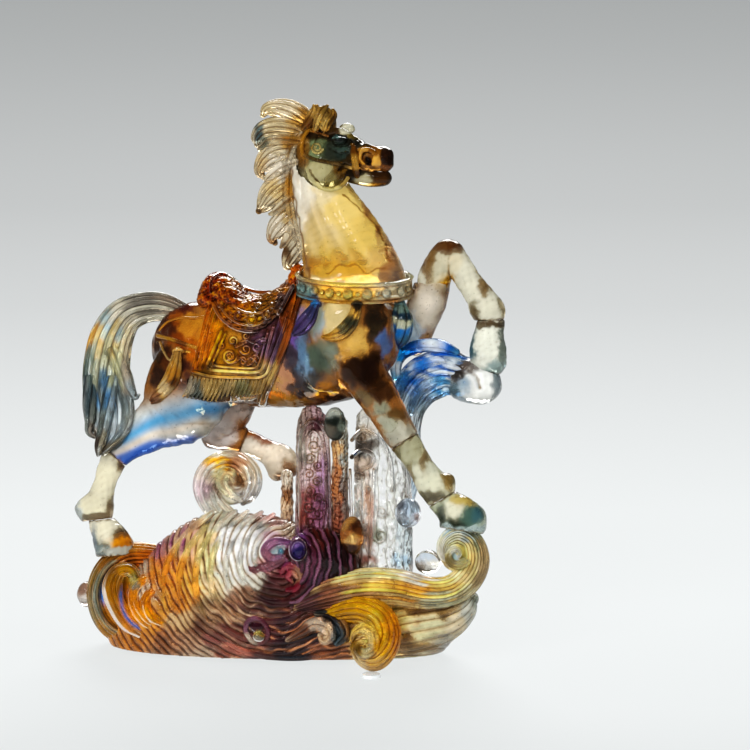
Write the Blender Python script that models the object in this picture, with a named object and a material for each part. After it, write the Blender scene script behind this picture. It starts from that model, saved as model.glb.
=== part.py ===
"""Crystal glass figurine: a saddled horse stepping over a curling wave base.

The horse, its harness and the wave base are separate glass sections that meet face to face with
a hairline bond gap, and the casting stands on three clear bumper feet.

The sections are laid out on a side drawing: u runs to the right, v runs down, and d runs away
from the viewer along a sight line that dips by TILT.  One drawing unit is UNIT metres.
A section of a loft is (u, v, d, r1, r2): r1 is the half height across the path in the drawing
plane, and r2 the half depth along d.
"""

import math

import bmesh
import bpy
from mathutils import Vector

# ---- driving dimensions -------------------------------------------------------------------
UNIT = 0.0004                 # metres in one drawing unit
TILT = math.radians(12.0)     # dip of the sight line of the side drawing
CENTRE_U, CENTRE_V = 375.0, 375.0
SIGHT = 5000.0                # distance of the drawing's eye point, in units
LIFT = 272.5                  # height of the drawing's centre above the floor, in units
YAW = math.radians(30.0)      # the horse's body turns this far towards the viewer
BOND_GAP = 0.00042            # offset of every cutter, which leaves about 0.3 mm between sections
FOOT_RADIUS = 0.0040
FOOT_HEIGHT = 0.0012
UNDERSIDE = 0.0016            # height of the ground and polished underside of the base
RING = 12                     # points round a loft

DEPTH = Vector((0.0, math.cos(TILT), -math.sin(TILT)))
ACROSS = Vector((0.0, 1.0, 0.0))
# the horse's left to right axis, in drawing axes turned into the object's frame
SIDEWAYS = Vector((math.sin(YAW), math.cos(YAW) * math.cos(TILT), -math.cos(YAW) * math.sin(TILT)))

GLASS = {
    "amber": ((0.62, 0.33, 0.07), 0.05),
    "gold": ((0.78, 0.62, 0.30), 0.05),
    "brown": ((0.26, 0.14, 0.06), 0.05),
    "milk": ((0.80, 0.80, 0.72), 0.06),
    "blue": ((0.25, 0.48, 0.68), 0.05),
    "aqua": ((0.45, 0.60, 0.56), 0.05),
    "purple": ((0.25, 0.12, 0.20), 0.05),
    "clear": ((0.88, 0.88, 0.86), 0.03),
    "rubber": ((0.85, 0.86, 0.86), 0.35),
}


def at(u, v, d):
    """A point of the side drawing in the object's frame, in metres."""
    k = 1.0 + d / SIGHT
    a, b = (u - CENTRE_U) * k, (CENTRE_V - v) * k
    return Vector((
        a,
        b * math.sin(TILT) + d * math.cos(TILT),
        b * math.cos(TILT) - d * math.sin(TILT) + LIFT,
    )) * UNIT


def clear_scene():
    for obj in list(bpy.data.objects):
        bpy.data.objects.remove(obj)


def material(name):
    made = bpy.data.materials.get(name)
    if made is None:
        made = bpy.data.materials.new(name)
        made.use_nodes = True
        shader = made.node_tree.nodes["Principled BSDF"]
        colour, rough = GLASS[name]
        shader.inputs["Base Color"].default_value = (*colour, 1.0)
        shader.inputs["Roughness"].default_value = rough
        shader.inputs["Metallic"].default_value = 0.0
        shader.inputs["IOR"].default_value = 1.52
    return made


def object_of(name, bm):
    mesh = bpy.data.meshes.new(name)
    bm.normal_update()
    bm.to_mesh(mesh)
    bm.free()
    obj = bpy.data.objects.new(name, mesh)
    bpy.context.scene.collection.objects.link(obj)
    return obj


def smooth_path(sections, steps):
    """Catmull-Rom stations between the given sections."""
    out = []
    n = len(sections)
    for i in range(n - 1):
        p0 = sections[max(i - 1, 0)]
        p1, p2 = sections[i], sections[i + 1]
        p3 = sections[min(i + 2, n - 1)]
        for s in range(steps):
            t = s / steps
            out.append(tuple(
                0.5 * (2 * b + (c - a) * t + (2 * a - 5 * b + 4 * c - d) * t * t
                       + (3 * b - a - 3 * c + d) * t ** 3)
                for a, b, c, d in zip(p0, p1, p2, p3)))
    out.append(tuple(sections[-1]))
    return out


def loft(bm, sections, steps=1, ring=RING, axis=None, round_ends=True):
    """Bridges rings along a path into one closed tube, and adds it to bm."""
    axis = axis or DEPTH
    rows = smooth_path(sections, steps) if steps > 1 else [tuple(s) for s in sections]
    points = [at(*s[:3]) for s in rows]
    radii = [(s[3] * UNIT, s[4] * UNIT) for s in rows]
    frames = []
    for i, p in enumerate(points):
        t = (points[min(i + 1, len(points) - 1)] - points[max(i - 1, 0)]).normalized()
        n1 = t.cross(axis).normalized()
        frames.append((t, n1, n1.cross(t).normalized()))
    if round_ends:
        t, n1, n2 = frames[0]
        r = min(radii[0])
        points.insert(0, points[0] - t * r * 0.6)
        radii.insert(0, (radii[0][0] * 0.62, radii[0][1] * 0.62))
        frames.insert(0, frames[0])
        t, n1, n2 = frames[-1]
        r = min(radii[-1])
        points.append(points[-1] + t * r * 0.6)
        radii.append((radii[-1][0] * 0.62, radii[-1][1] * 0.62))
        frames.append(frames[-1])
    rings = []
    for p, (r1, r2), (t, n1, n2) in zip(points, radii, frames):
        rings.append([
            bm.verts.new(p + n1 * r1 * math.cos(2 * math.pi * k / ring)
                         + n2 * r2 * math.sin(2 * math.pi * k / ring))
            for k in range(ring)])
    for a, b in zip(rings, rings[1:]):
        edges_a = [bm.edges.get((a[k], a[k - 1])) or bm.edges.new((a[k], a[k - 1])) for k in range(ring)]
        edges_b = [bm.edges.get((b[k], b[k - 1])) or bm.edges.new((b[k], b[k - 1])) for k in range(ring)]
        for k in range(ring):
            bm.faces.new((a[k - 1], a[k], b[k], b[k - 1]))
        del edges_a, edges_b
    bm.faces.new(list(reversed(rings[0])))
    bm.faces.new(rings[-1])
    bmesh.ops.recalc_face_normals(bm, faces=bm.faces)


def ball(bm, u, v, d, ru, rv, rd, rings=7, segments=12):
    made = bmesh.ops.create_uvsphere(bm, u_segments=segments, v_segments=rings, radius=1.0)["verts"]
    centre = at(u, v, d)
    for vert in made:
        x, y, z = vert.co
        vert.co = centre + Vector((x * ru, 0, 0)) * UNIT + Vector((0, y * rd, z * rv)) * UNIT


def evaluated(obj):
    """Replaces obj's mesh by what its modifiers make of it."""
    bpy.context.view_layer.update()
    graph = bpy.context.evaluated_depsgraph_get()
    mesh = bpy.data.meshes.new_from_object(obj.evaluated_get(graph))
    old = obj.data
    obj.modifiers.clear()
    obj.data = mesh
    bpy.data.meshes.remove(old)


def fuse(obj, voxel, triangles):
    """Joins overlapping shells into one skin, then thins it to about that many triangles."""
    remesh = obj.modifiers.new("join", "REMESH")
    remesh.mode = "VOXEL"
    remesh.voxel_size = voxel
    remesh.adaptivity = 0.0
    evaluated(obj)
    soft = obj.modifiers.new("soften", "SMOOTH")
    soft.factor = 0.5
    soft.iterations = 4
    evaluated(obj)
    thin(obj, triangles)


def thin(obj, triangles):
    count = sum(len(p.vertices) - 2 for p in obj.data.polygons)
    if count > triangles:
        cut = obj.modifiers.new("thin", "DECIMATE")
        cut.ratio = triangles / count
        cut.use_collapse_triangulate = True
        evaluated(obj)


def grown(obj, by):
    """A copy of obj's mesh with its skin moved out evenly, as a cutter."""
    bm = bmesh.new()
    bm.from_mesh(obj.data)
    bmesh.ops.triangulate(bm, faces=bm.faces)
    bm.normal_update()
    moves = [v.normal * by * min(v.calc_shell_factor(), 1.8) for v in bm.verts]
    for v, m in zip(bm.verts, moves):
        v.co += m
    return object_of(obj.name + "_cutter", bm)


def boolean(obj, other, operation):
    cut = obj.modifiers.new(operation, "BOOLEAN")
    cut.operation = operation
    cut.solver = "EXACT"
    cut.use_self = operation == "DIFFERENCE"   # a grown skin can fold over itself in a hollow
    cut.object = other
    evaluated(obj)


def tidied(mesh, weld):
    """mesh's largest island as triangles facing out, and how many of its edges are open."""
    bm = bmesh.new()
    bm.from_mesh(mesh)
    if weld:
        bmesh.ops.remove_doubles(bm, verts=bm.verts, dist=weld)
        bmesh.ops.dissolve_degenerate(bm, edges=bm.edges, dist=weld)
    seen, best = set(), []
    for start in bm.verts:
        if start in seen:
            continue
        stack, found = [start], []
        seen.add(start)
        while stack:
            v = stack.pop()
            found.append(v)
            for e in v.link_edges:
                w = e.other_vert(v)
                if w not in seen:
                    seen.add(w)
                    stack.append(w)
        if len(found) > len(best):
            best = found
    keep = set(best)
    bmesh.ops.delete(bm, geom=[v for v in bm.verts if v not in keep], context="VERTS")
    bmesh.ops.triangulate(bm, faces=bm.faces)
    bmesh.ops.recalc_face_normals(bm, faces=bm.faces)
    if bm.calc_volume(signed=True) < 0:
        bmesh.ops.reverse_faces(bm, faces=bm.faces)
    return bm, sum(1 for e in bm.edges if len(e.link_faces) != 2)


def largest_island(obj):
    """Drops crumbs that a cut leaves, and welds what it leaves too close."""
    for weld in (0.00002, 0.000008, 0.000002, 0.0):
        bm, open_edges = tidied(obj.data, weld)
        if not open_edges:
            break
        bm.free()
    else:
        remesh = obj.modifiers.new("close", "REMESH")
        remesh.mode = "VOXEL"
        remesh.voxel_size = 0.0005
        evaluated(obj)
        thin(obj, 320)
        bm, open_edges = tidied(obj.data, 0.0)
    bm.to_mesh(obj.data)
    bm.free()


def boxes_meet(a, b, slack):
    def ends(o):
        co = [v.co for v in o.data.vertices]
        return ([min(c[i] for c in co) for i in range(3)], [max(c[i] for c in co) for i in range(3)])
    if not a.data.vertices:
        raise ValueError(a.name + " was cut away")
    (la, ha), (lb, hb) = ends(a), ends(b)
    return all(la[i] - slack < hb[i] and lb[i] - slack < ha[i] for i in range(3))


BUILT = []


def finish_node(obj, colour, cut=True, skip=()):
    """Cuts obj clear of every section built before it, and gives it its glass."""
    if cut:
        for other in BUILT:
            if other.name not in skip and boxes_meet(obj, other, BOND_GAP):
                tool = grown(other, BOND_GAP)
                boolean(obj, tool, "DIFFERENCE")
                bpy.data.objects.remove(tool)
        largest_island(obj)
    obj.data.materials.clear()
    obj.data.materials.append(material(colour))
    obj.data.shade_smooth()
    obj.data.set_sharp_from_angle(angle=math.radians(40))
    BUILT.append(obj)
    return obj


def tube(name, colour, sections, steps=1, ring=RING, axis=None, cut=True, fused=None, skip=(), floor=False,
         round_ends=True):
    bm = bmesh.new()
    for path in (sections if isinstance(sections[0], list) else [sections]):
        loft(bm, path, steps, ring, axis, round_ends)
    obj = object_of(name, bm)
    if fused:
        fuse(obj, *fused)
    if floor:
        boolean(obj, FLOOR_TOOL, "DIFFERENCE")
    return finish_node(obj, colour, cut, skip)


def prism(name, outline, depth_at, inwards, outwards):
    """A block under an outline drawn on the horse's near side, running through the body sideways."""
    bm = bmesh.new()
    near, far = [], []
    for u, v in outline:
        p = at(u, v, depth_at(u))
        near.append(bm.verts.new(p - SIDEWAYS * outwards * UNIT))
        far.append(bm.verts.new(p + SIDEWAYS * inwards * UNIT))
    bm.faces.new(near)
    bm.faces.new(list(reversed(far)))
    for i in range(len(near)):
        bm.faces.new((near[i - 1], near[i], far[i], far[i - 1]))
    bmesh.ops.recalc_face_normals(bm, faces=bm.faces)
    return object_of(name, bm)


def wrap(name, colour, host, outline, outer, inner, inwards=120.0, outwards=40.0, triangles=None, skip=()):
    """A piece of harness: the host's skin between two offsets, under an outline."""
    obj = grown(host, outer * UNIT)
    obj.name = name
    obj.data.name = name
    block = prism("block", outline, lambda u: -7.0 - (u - 200.0) * 0.577, inwards, outwards)
    boolean(obj, block, "INTERSECT")
    bpy.data.objects.remove(block)
    core = grown(host, inner * UNIT)
    boolean(obj, core, "DIFFERENCE")
    bpy.data.objects.remove(core)
    if triangles:
        thin(obj, triangles)
    return finish_node(obj, colour, True, skip)


clear_scene()
FLOOR_TOOL = None
bm_floor = bmesh.new()
bmesh.ops.create_cube(bm_floor, size=1.0)
for corner in bm_floor.verts:
    corner.co = Vector((corner.co.x * 0.6, corner.co.y * 0.6, corner.co.z * 0.2 - 0.1 + UNDERSIDE))
FLOOR_TOOL = object_of("floor_tool", bm_floor)
FLOOR_TOOL.hide_render = True
FLOOR_TOOL.display_type = "WIRE"

# ---- the horse ----------------------------------------------------------------------------
torso = tube("torso", "brown", [
    [(166, 343, 46, 16, 14), (176, 345, 41, 33, 24), (192, 347, 34, 46, 31), (215, 351, 24, 50, 35),
     (245, 355, 8, 50, 37), (280, 355, -10, 53, 39), (315, 348, -29, 59, 41), (345, 338, -44, 59, 42),
     (370, 332, -56, 48, 38), (388, 330, -64, 30, 28)],
    [(200, 345, 16, 34, 20), (192, 380, 10, 44, 25), (180, 407, 9, 40, 24), (158, 423, 10, 27, 18)],
    [(238, 375, 42, 26, 22), (233, 402, 48, 23, 18)],
    [(348, 340, -66, 28, 20), (360, 366, -74, 25, 21)],
    [(392, 322, -34, 20, 20), (408, 334, -26, 18, 17)],
], steps=2, fused=(0.0016, 1100), cut=False)

neck = tube("neck", "gold", [
    (357, 296, -42, 48, 37), (354, 280, -41, 49, 36), (349, 262, -37, 46, 32), (340, 237, -31, 41, 27),
    (329, 213, -26, 34.5, 23), (319, 190, -21, 29.5, 20.5), (312, 168, -18, 24.5, 18.5)])

head = tube("head", "brown", [
    [(306, 136, -12, 15, 12), (315, 147, -16, 25, 15), (326, 159, -23, 30, 16), (339, 158, -30, 25, 14.5),
     (352, 155, -36, 17, 12.5), (364, 158, -42, 13, 12), (376, 161, -48, 14, 12.5), (385, 163, -52, 10.5, 10)],
    [(344, 131, -24, 6, 5), (351, 131, -26, 5, 5)],
], fused=(0.0010, 460))
tube("lower_jaw", "brown", [(346, 171, -34, 10, 9), (356, 173, -40, 9, 9), (368, 177, -45, 9.5, 9),
                            (379, 179, -49, 8, 8)], ring=10)
tube("ear_near", "gold", [(329, 130, -25, 7, 5), (325, 121, -24, 11, 6), (321, 113, -23, 10, 5),
                          (317, 108, -22, 5, 3)], ring=10)
tube("ear_far", "gold", [(331, 128, -8, 6, 5), (328, 120, -7, 8, 5), (324, 114, -6, 5, 3)], ring=10)
tube("mane_crest", "clear", [(301, 138, -13, 9, 7), (291, 165, -16, 8, 7), (290, 195, -19, 8, 7),
                             (295, 222, -23, 8, 7), (302, 245, -27, 8, 7), (307, 260, -31, 6, 6)], ring=10)
LOCKS = [
    [(308, 122, -12, 9, 8), (296, 114, -10, 11, 9), (282, 108, -8, 9.5, 8), (270, 108, -6, 7, 6.5), (265, 112, -5, 4, 4)],
    [(301, 134, -12, 9, 8), (289, 128, -10, 11, 9), (275, 128, -9, 11, 9), (263, 133, -8, 9, 8), (258, 142, -7, 5, 5)],
    [(297, 150, -14, 9, 8), (284, 150, -12, 11, 9), (271, 155, -10, 13, 9), (263, 165, -9, 9, 8), (262, 174, -8, 5, 5)],
    [(292, 180, -17, 10, 8), (281, 186, -15, 13, 9), (271, 195, -13, 13, 9), (264, 205, -12, 8, 7), (260, 210, -11, 4, 4)],
    [(295, 210, -21, 10, 8), (286, 218, -19, 13, 9), (278, 228, -17, 12, 9), (274, 237, -16, 7, 7)],
    [(302, 234, -25, 9, 8), (297, 245, -24, 11, 9), (292, 256, -22, 10, 8.5), (290, 265, -21, 6, 6)],
]
for i, lock in enumerate(LOCKS):
    tube(f"mane_lock_{i + 1}", "clear", lock, ring=10)

tube("tail", "aqua", [
    (181, 311, 43, 8, 8), (163, 307, 45, 14, 12), (143, 308, 44, 16, 13), (124, 317, 41, 19, 14),
    (112, 337, 37, 22, 15), (107, 362, 31, 23.5, 15), (107, 388, 23, 24.5, 14), (111, 412, 12, 25, 13),
    (109, 434, 2, 19, 11), (104, 450, -3, 8, 7)], ring=12)

# legs
tube("near_hind_gaskin", "blue", [(156, 423, 10, 26, 18), (132, 440, 11, 19, 15), (117, 455, 12, 14.5, 13),
                                  (110, 468, 12, 12.5, 12)])
tube("near_hind_cannon", "milk", [(110, 466, 12, 12.5, 12), (104, 486, 12, 12, 12), (100, 497, 12, 13.5, 12.5),
                                  (94, 509, 12, 17.5, 15), (99, 517, 11, 14, 13)], ring=12)
tube("near_hind_hoof", "milk", [(101, 522, 11, 12, 12), (106, 531, 10, 15.5, 15), (113, 543, 8, 18.5, 18),
                                (116, 550, 7, 19, 19)], ring=12)
tube("far_hind_gaskin", "milk", [(233, 404, 49, 22, 18), (222, 424, 52, 20, 17), (214, 434, 53, 14, 13)])
tube("far_hind_cannon", "milk", [(214, 436, 53, 13, 12), (232, 437, 52, 14, 13), (250, 443, 51, 12, 12),
                                 (266, 450, 49, 11.5, 11.5), (280, 459, 47, 15, 14), (288, 464, 46, 11, 11)], ring=12)
tube("near_fore_arm", "brown", [(358, 362, -74, 24, 20), (374, 390, -78, 21, 19), (388, 413, -78, 18.5, 17),
                                (400, 434, -77, 16.5, 15.5), (410, 449, -75, 14.5, 14)], ring=12)
tube("near_fore_cannon", "milk", [(411, 451, -75, 14.2, 14), (421, 466, -73, 14, 13.5), (431, 482, -71, 15.5, 14.5),
                                  (438, 492, -70, 16, 15), (441, 497, -69, 13.5, 13)], ring=12)
tube("near_fore_hoof", "aqua", [(444, 502, -68, 12, 12), (450, 508, -67, 15, 14.5), (457, 514, -66, 18.5, 18),
                                (461, 521, -65, 20.5, 20)], ring=12)
tube("far_fore_arm", "milk", [(413, 345, -22, 14, 14), (418, 325, -24, 18, 16), (427, 302, -28, 19.5, 17),
                              (434, 280, -32, 17, 16), (441, 261, -35, 15, 15), (443, 254, -36, 11, 11)], ring=12)
tube("far_fore_cannon", "milk", [(452, 258, -37, 12, 12), (458, 266, -38, 13.5, 13), (468, 280, -41, 13.5, 13),
                                 (480, 297, -44, 14.5, 14), (488, 309, -46, 16.5, 15), (491, 318, -47, 12, 12)], ring=12)
tube("far_fore_hoof", "milk", [(491, 325, -47, 11, 11), (491, 334, -48, 12, 12), (490, 344, -48, 16, 15.5),
                               (489, 354, -48, 18, 18), (492, 362, -48, 15, 15)], ring=12)

# harness
wrap("saddle_blanket", "amber", torso,
     [(206, 280), (300, 250), (292, 300), (284, 330), (274, 358), (264, 377), (228, 379), (190, 376), (200, 350), (206, 320)],
     4.2, 1.0, triangles=420)
saddle_bm = bmesh.new()
loft(saddle_bm, [(213, 296, 26, 14, 20), (222, 292, 23, 19, 26), (236, 300, 15, 16, 30), (252, 307, 6, 15, 31),
                 (270, 308, -4, 15, 31), (286, 299, -12, 15, 29), (297, 284, -18, 13, 22)], ring=12)
saddle = object_of("saddle", saddle_bm)
finish_node(saddle, "amber")
wrap("saddle_skirt_near", "amber", torso,
     [(211, 290), (216, 304), (227, 320), (241, 329), (256, 329), (270, 320), (280, 305), (292, 288), (250, 296)],
     8.0, 4.4, inwards=30.0)
wrap("girth", "brown", torso, [(296, 296), (303, 297), (292, 335), (279, 368), (268, 398), (266, 420), (258, 420), (260, 396),
                               (272, 366), (285, 333)], 4.0, 1.0)
wrap("fringe_near", "gold", torso, [(187, 382), (228, 385), (264, 383), (258, 402), (226, 404), (198, 400)], 6.0, 1.0,
     inwards=30.0)
tube("breast_collar", "gold", [(353, 277, -42, 55, 42), (354, 284, -42, 58, 45), (354, 299, -43, 60, 47),
                               (354, 305, -43, 57, 45)], ring=16, round_ends=False)
tube("noseband", "gold", [(353, 158, -37, 18, 16), (361, 160, -42, 17, 15.5)], ring=14, round_ends=False)
tube("tassel_rear", "gold", [(177, 353, -12, 4, 4), (176, 364, -14, 6, 5), (173, 377, -16, 8, 6), (165, 389, -14, 7, 6)], ring=10)
tube("tassel_near", "purple", [(316, 306, -88, 5, 5), (311, 315, -90, 8, 7), (302, 326, -88, 9, 7)], ring=10)
tube("tassel_centre", "gold", [(356, 308, -93, 5, 5), (354, 316, -96, 6, 6), (347, 328, -96, 8, 7), (333, 336, -95, 6, 5)], ring=10)
tube("tassel_far", "blue", [(400, 309, -62, 8, 7), (401, 318, -64, 11, 9), (400, 330, -64, 11, 9), (396, 341, -62, 7, 6)], ring=10)

# ---- the wave base ------------------------------------------------------------------------
tube("wave_mound", "purple", [
    (122, 634, 20, 16, 14), (142, 633, 17, 48, 30), (165, 632, 14, 80, 42), (190, 631, 11, 106, 49),
    (215, 631, 8, 120, 53), (245, 631, 5, 120, 56), (285, 631, 3, 113, 58), (330, 631, 0, 88, 58),
    (375, 630, -4, 64, 54), (412, 628, -10, 48, 46), (440, 624, -16, 32, 34), (456, 620, -20, 20, 20)],
    ring=18, axis=ACROSS, floor=True)
tube("left_curl", "amber", [
    (176, 572, 10, 14, 18), (152, 559, 12, 14, 22), (124, 560, 16, 15, 26), (106, 580, 20, 15, 29),
    (106, 604, 24, 17, 31), (124, 626, 26, 19, 31), (150, 632, 22, 17, 29)], ring=12, axis=ACROSS, floor=True)
tube("left_inner_curl", "amber", [(168, 612, -30, 20, 20), (146, 606, -20, 18, 20), (130, 594, -12, 14, 20),
                                  (130, 580, -12, 10, 14)], ring=12, axis=ACROSS)
tube("right_stream", "amber", [
    (330, 598, -58, 22, 22), (362, 589, -62, 19, 22), (396, 589, -62, 17, 22), (428, 595, -61, 16, 21),
    (456, 592, -60, 16, 20)], ring=12, axis=ACROSS)
tube("right_curl", "aqua", [
    (463, 590, -60, 16, 20), (477, 574, -60, 14, 20), (479, 553, -60, 12.5, 20), (466, 537, -60, 12, 19),
    (450, 539, -60, 11, 18), (444, 552, -60, 10, 16), (451, 563, -60, 8, 14)], ring=12, axis=ACROSS)
tube("right_lobe", "gold", [(392, 631, -40, 25, 28), (424, 625, -42, 25, 28), (450, 617, -42, 21, 26),
                            (467, 608, -42, 14, 20)], ring=12, axis=ACROSS, floor=True)
tube("front_curl", "amber", [
    (328, 617, -56, 16, 18), (344, 612, -64, 16, 20), (362, 612, -72, 15, 22), (382, 622, -78, 16, 24),
    (388, 642, -81, 15, 25), (377, 658, -82, 15, 25), (362, 655, -82, 10, 21)], ring=12, axis=ACROSS, floor=True)
tube("centre_whorl", "purple", [(296, 553, -52, 12, 12), (312, 552, -54, 22, 18), (328, 556, -54, 25, 19),
                                (345, 565, -54, 16, 17)], ring=12, axis=ACROSS)
tube("small_scroll_front", "brown", [(300, 636, -56, 10, 12), (316, 630, -62, 12, 13), (328, 630, -68, 12, 12)], ring=10, axis=ACROSS)
tube("rear_curl", "clear", [
    (232, 522, 4, 16, 16), (216, 508, 8, 12, 17), (204, 494, 12, 11, 18), (205, 477, 14, 11, 19), (217, 465, 14, 11, 19),
    (236, 463, 14, 12, 19), (249, 476, 14, 12, 19), (246, 492, 14, 9, 16)], ring=12, axis=ACROSS)
tube("left_pillar", "purple", [(312, 417, -34, 13, 12), (313, 428, -34, 17, 15), (313, 460, -34, 18, 16),
                               (313, 500, -34, 18, 17), (313, 540, -36, 20, 20)], ring=12, axis=ACROSS)
tube("middle_rib", "clear", [(341, 424, -32, 9, 9), (341, 450, -32, 9, 10), (341, 500, -32, 9, 11), (342, 552, -34, 11, 12)],
     ring=10, axis=ACROSS)
tube("right_pillar", "clear", [(374, 416, -28, 18, 12), (380, 436, -28, 25, 16), (383, 470, -28, 29, 18),
                               (384, 520, -28, 30, 20), (384, 565, -30, 30, 22)], ring=14, axis=ACROSS)
tube("side_rib", "clear", [(287, 478, 30, 6, 8), (287, 510, 26, 6, 9), (287, 536, 22, 8, 10)], ring=10, axis=ACROSS)
tube("splash_wave", "blue", [
    (408, 492, -6, 9, 10), (412, 460, -8, 10, 11), (408, 430, -12, 13, 12), (410, 404, -18, 19, 14),
    (424, 382, -26, 24, 16), (446, 374, -36, 24, 18), (462, 378, -42, 22, 19)], ring=12)
tube("splash_tip", "milk", [(465, 380, -43, 21.5, 19), (480, 385, -46, 21, 20), (486, 386, -47, 16, 16)], ring=14)

for name, colour, spot in (
        ("droplet_amber", "amber", (352, 536, -64, 12, 20, 11)),
        ("droplet_top", "aqua", (335, 424, -56, 11, 17, 10)),
        ("droplet_clear", "clear", (408, 513, -54, 13.5, 14.5, 13)),
        ("droplet_small", "clear", (428, 562, -52, 13, 12, 11)),
        ("pebble_left", "clear", (87, 594, 34, 10, 13, 12)),
):
    drop = bmesh.new()
    ball(drop, *spot)
    finish_node(object_of(name, drop), colour)

# ---- bumper feet --------------------------------------------------------------------------
FEET = {"bumper_left": (135, 645.5, 31), "bumper_front": (371, 675, -85), "bumper_back": (366, 634, 42)}
for name, spot in FEET.items():
    foot = bmesh.new()
    bmesh.ops.create_cone(foot, cap_ends=True, segments=20, radius1=FOOT_RADIUS, radius2=FOOT_RADIUS * 0.86,
                          depth=FOOT_HEIGHT)
    where = at(*spot)
    for vert in foot.verts:
        vert.co += Vector((where.x, where.y, FOOT_HEIGHT / 2))
    finish_node(object_of(name, foot), "rubber")

bpy.data.objects.remove(FLOOR_TOOL)

# ---- the origin goes to the middle of the footprint ----------------------------------------
corners = [v.co for obj in BUILT for v in obj.data.vertices]
shift = Vector((
    -(min(c.x for c in corners) + max(c.x for c in corners)) / 2,
    -(min(c.y for c in corners) + max(c.y for c in corners)) / 2,
    0.0))
for obj in BUILT:
    for v in obj.data.vertices:
        v.co += shift
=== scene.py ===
"""Looks of the crystal glass horse figurine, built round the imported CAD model.

Every piece is laid out on the same side drawing as the CAD sections: u runs right, v runs down, d runs
away from the viewer along a sight line that dips by TILT, and one drawing unit is UNIT metres.
"""
import math

import bpy
import numpy as np
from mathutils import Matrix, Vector


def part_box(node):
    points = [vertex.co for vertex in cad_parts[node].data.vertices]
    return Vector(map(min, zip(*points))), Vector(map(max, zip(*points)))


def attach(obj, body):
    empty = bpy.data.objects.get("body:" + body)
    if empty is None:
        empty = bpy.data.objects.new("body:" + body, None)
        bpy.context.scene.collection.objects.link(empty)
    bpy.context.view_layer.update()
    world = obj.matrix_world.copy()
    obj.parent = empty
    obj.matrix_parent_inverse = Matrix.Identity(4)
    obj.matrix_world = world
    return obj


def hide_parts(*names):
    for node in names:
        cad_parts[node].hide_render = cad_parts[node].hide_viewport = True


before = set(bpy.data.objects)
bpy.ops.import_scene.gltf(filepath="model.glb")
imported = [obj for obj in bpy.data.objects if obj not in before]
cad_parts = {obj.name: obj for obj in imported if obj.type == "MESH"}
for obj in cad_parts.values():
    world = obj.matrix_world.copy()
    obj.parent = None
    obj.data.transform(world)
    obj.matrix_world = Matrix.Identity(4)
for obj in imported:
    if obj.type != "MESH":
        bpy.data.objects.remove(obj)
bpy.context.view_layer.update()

UNIT = 0.0004
TILT = math.radians(12.0)
CENTRE_U, CENTRE_V = 375.0, 375.0
SIGHT = 5000.0
LIFT = 272.5
CT, ST = math.cos(TILT), math.sin(TILT)
ACROSS = (0.0, -ST, CT)          # the floor plane's depth direction, in drawing axes
ALONG = (0.0, 0.0, 1.0)          # the sight line
SIDE = (0.5, 0.0, 0.866)         # the horse's left to right axis, in drawing axes
SIDE_MID = 131.0                 # SIDE coordinate of the horse's middle plane


def raw_world(P):
    P = np.atleast_2d(np.asarray(P, float))
    k = 1.0 + P[:, 2] / SIGHT
    a, b = (P[:, 0] - CENTRE_U) * k, (CENTRE_V - P[:, 1]) * k
    return np.stack([a, b * ST + P[:, 2] * CT, b * CT - P[:, 2] * ST + LIFT], 1) * UNIT


_low, _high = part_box("bumper_left")
_foot = raw_world([(135.0, 645.5, 31.0)])[0]
OFFSET = np.array([(_low[0] + _high[0]) / 2 - _foot[0], (_low[1] + _high[1]) / 2 - _foot[1], 0.0])


def to_world(P):
    return raw_world(P) + OFFSET


# ---- colour -------------------------------------------------------------------------------
def lin(c):
    c = np.asarray(c, float) / 255.0
    return np.where(c <= 0.04045, c / 12.92, ((c + 0.055) / 1.055) ** 2.4)


def waves(P, size, seed=0, octaves=3):
    """Smooth noise about 0, from sums of sines in turned directions."""
    rng = np.random.RandomState(seed)
    out = np.zeros(len(P))
    amp, total = 1.0, 0.0
    for o in range(octaves):
        for _ in range(4):
            k = rng.normal(size=3)
            k *= 2 * math.pi / (size * np.linalg.norm(k)) * rng.uniform(0.7, 1.3)
            out += amp * np.sin(P @ k + rng.uniform(0, 6.28))
            total += amp * 0.5
        amp *= 0.55
        size *= 0.5
    return out / total


def paint(P, base, spots, warp=3.0, seed=1, sharp=2.0, seam=0.0):
    """Colour and clearness at each point: patches of coloured glass that meet along wandering edges.
    A spot is (u, v, ru, rv, (r, g, b), clearness)."""
    Q = P.copy()
    if warp:
        for size, amount in ((26, warp), (9, warp * 0.45), (3.6, warp * 0.18)):
            Q[:, 0] += amount * waves(P, size, seed + int(size), 2)
            Q[:, 1] += amount * waves(P, size, seed + int(size) + 7, 2)
    W = np.full(len(P), 0.006)
    C = np.outer(W, [*lin(base[0]), base[1]])
    first, second = W.copy(), np.zeros(len(P))
    for u, v, ru, rv, colour, clear in spots:
        w = np.exp(-sharp * (((Q[:, 0] - u) / ru) ** 2 + ((Q[:, 1] - v) / rv) ** 2))
        W += w
        C += np.outer(w, [*lin(colour), clear])
        second = np.maximum(second, np.minimum(first, w))
        first = np.maximum(first, w)
    C /= W[:, None]
    if seam:        # a darker line where two patches fused
        C[:, :3] *= (1 - seam * np.clip((second / first - 0.62) / 0.38, 0, 1) * (first > 0.03))[:, None]
    return C


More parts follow.
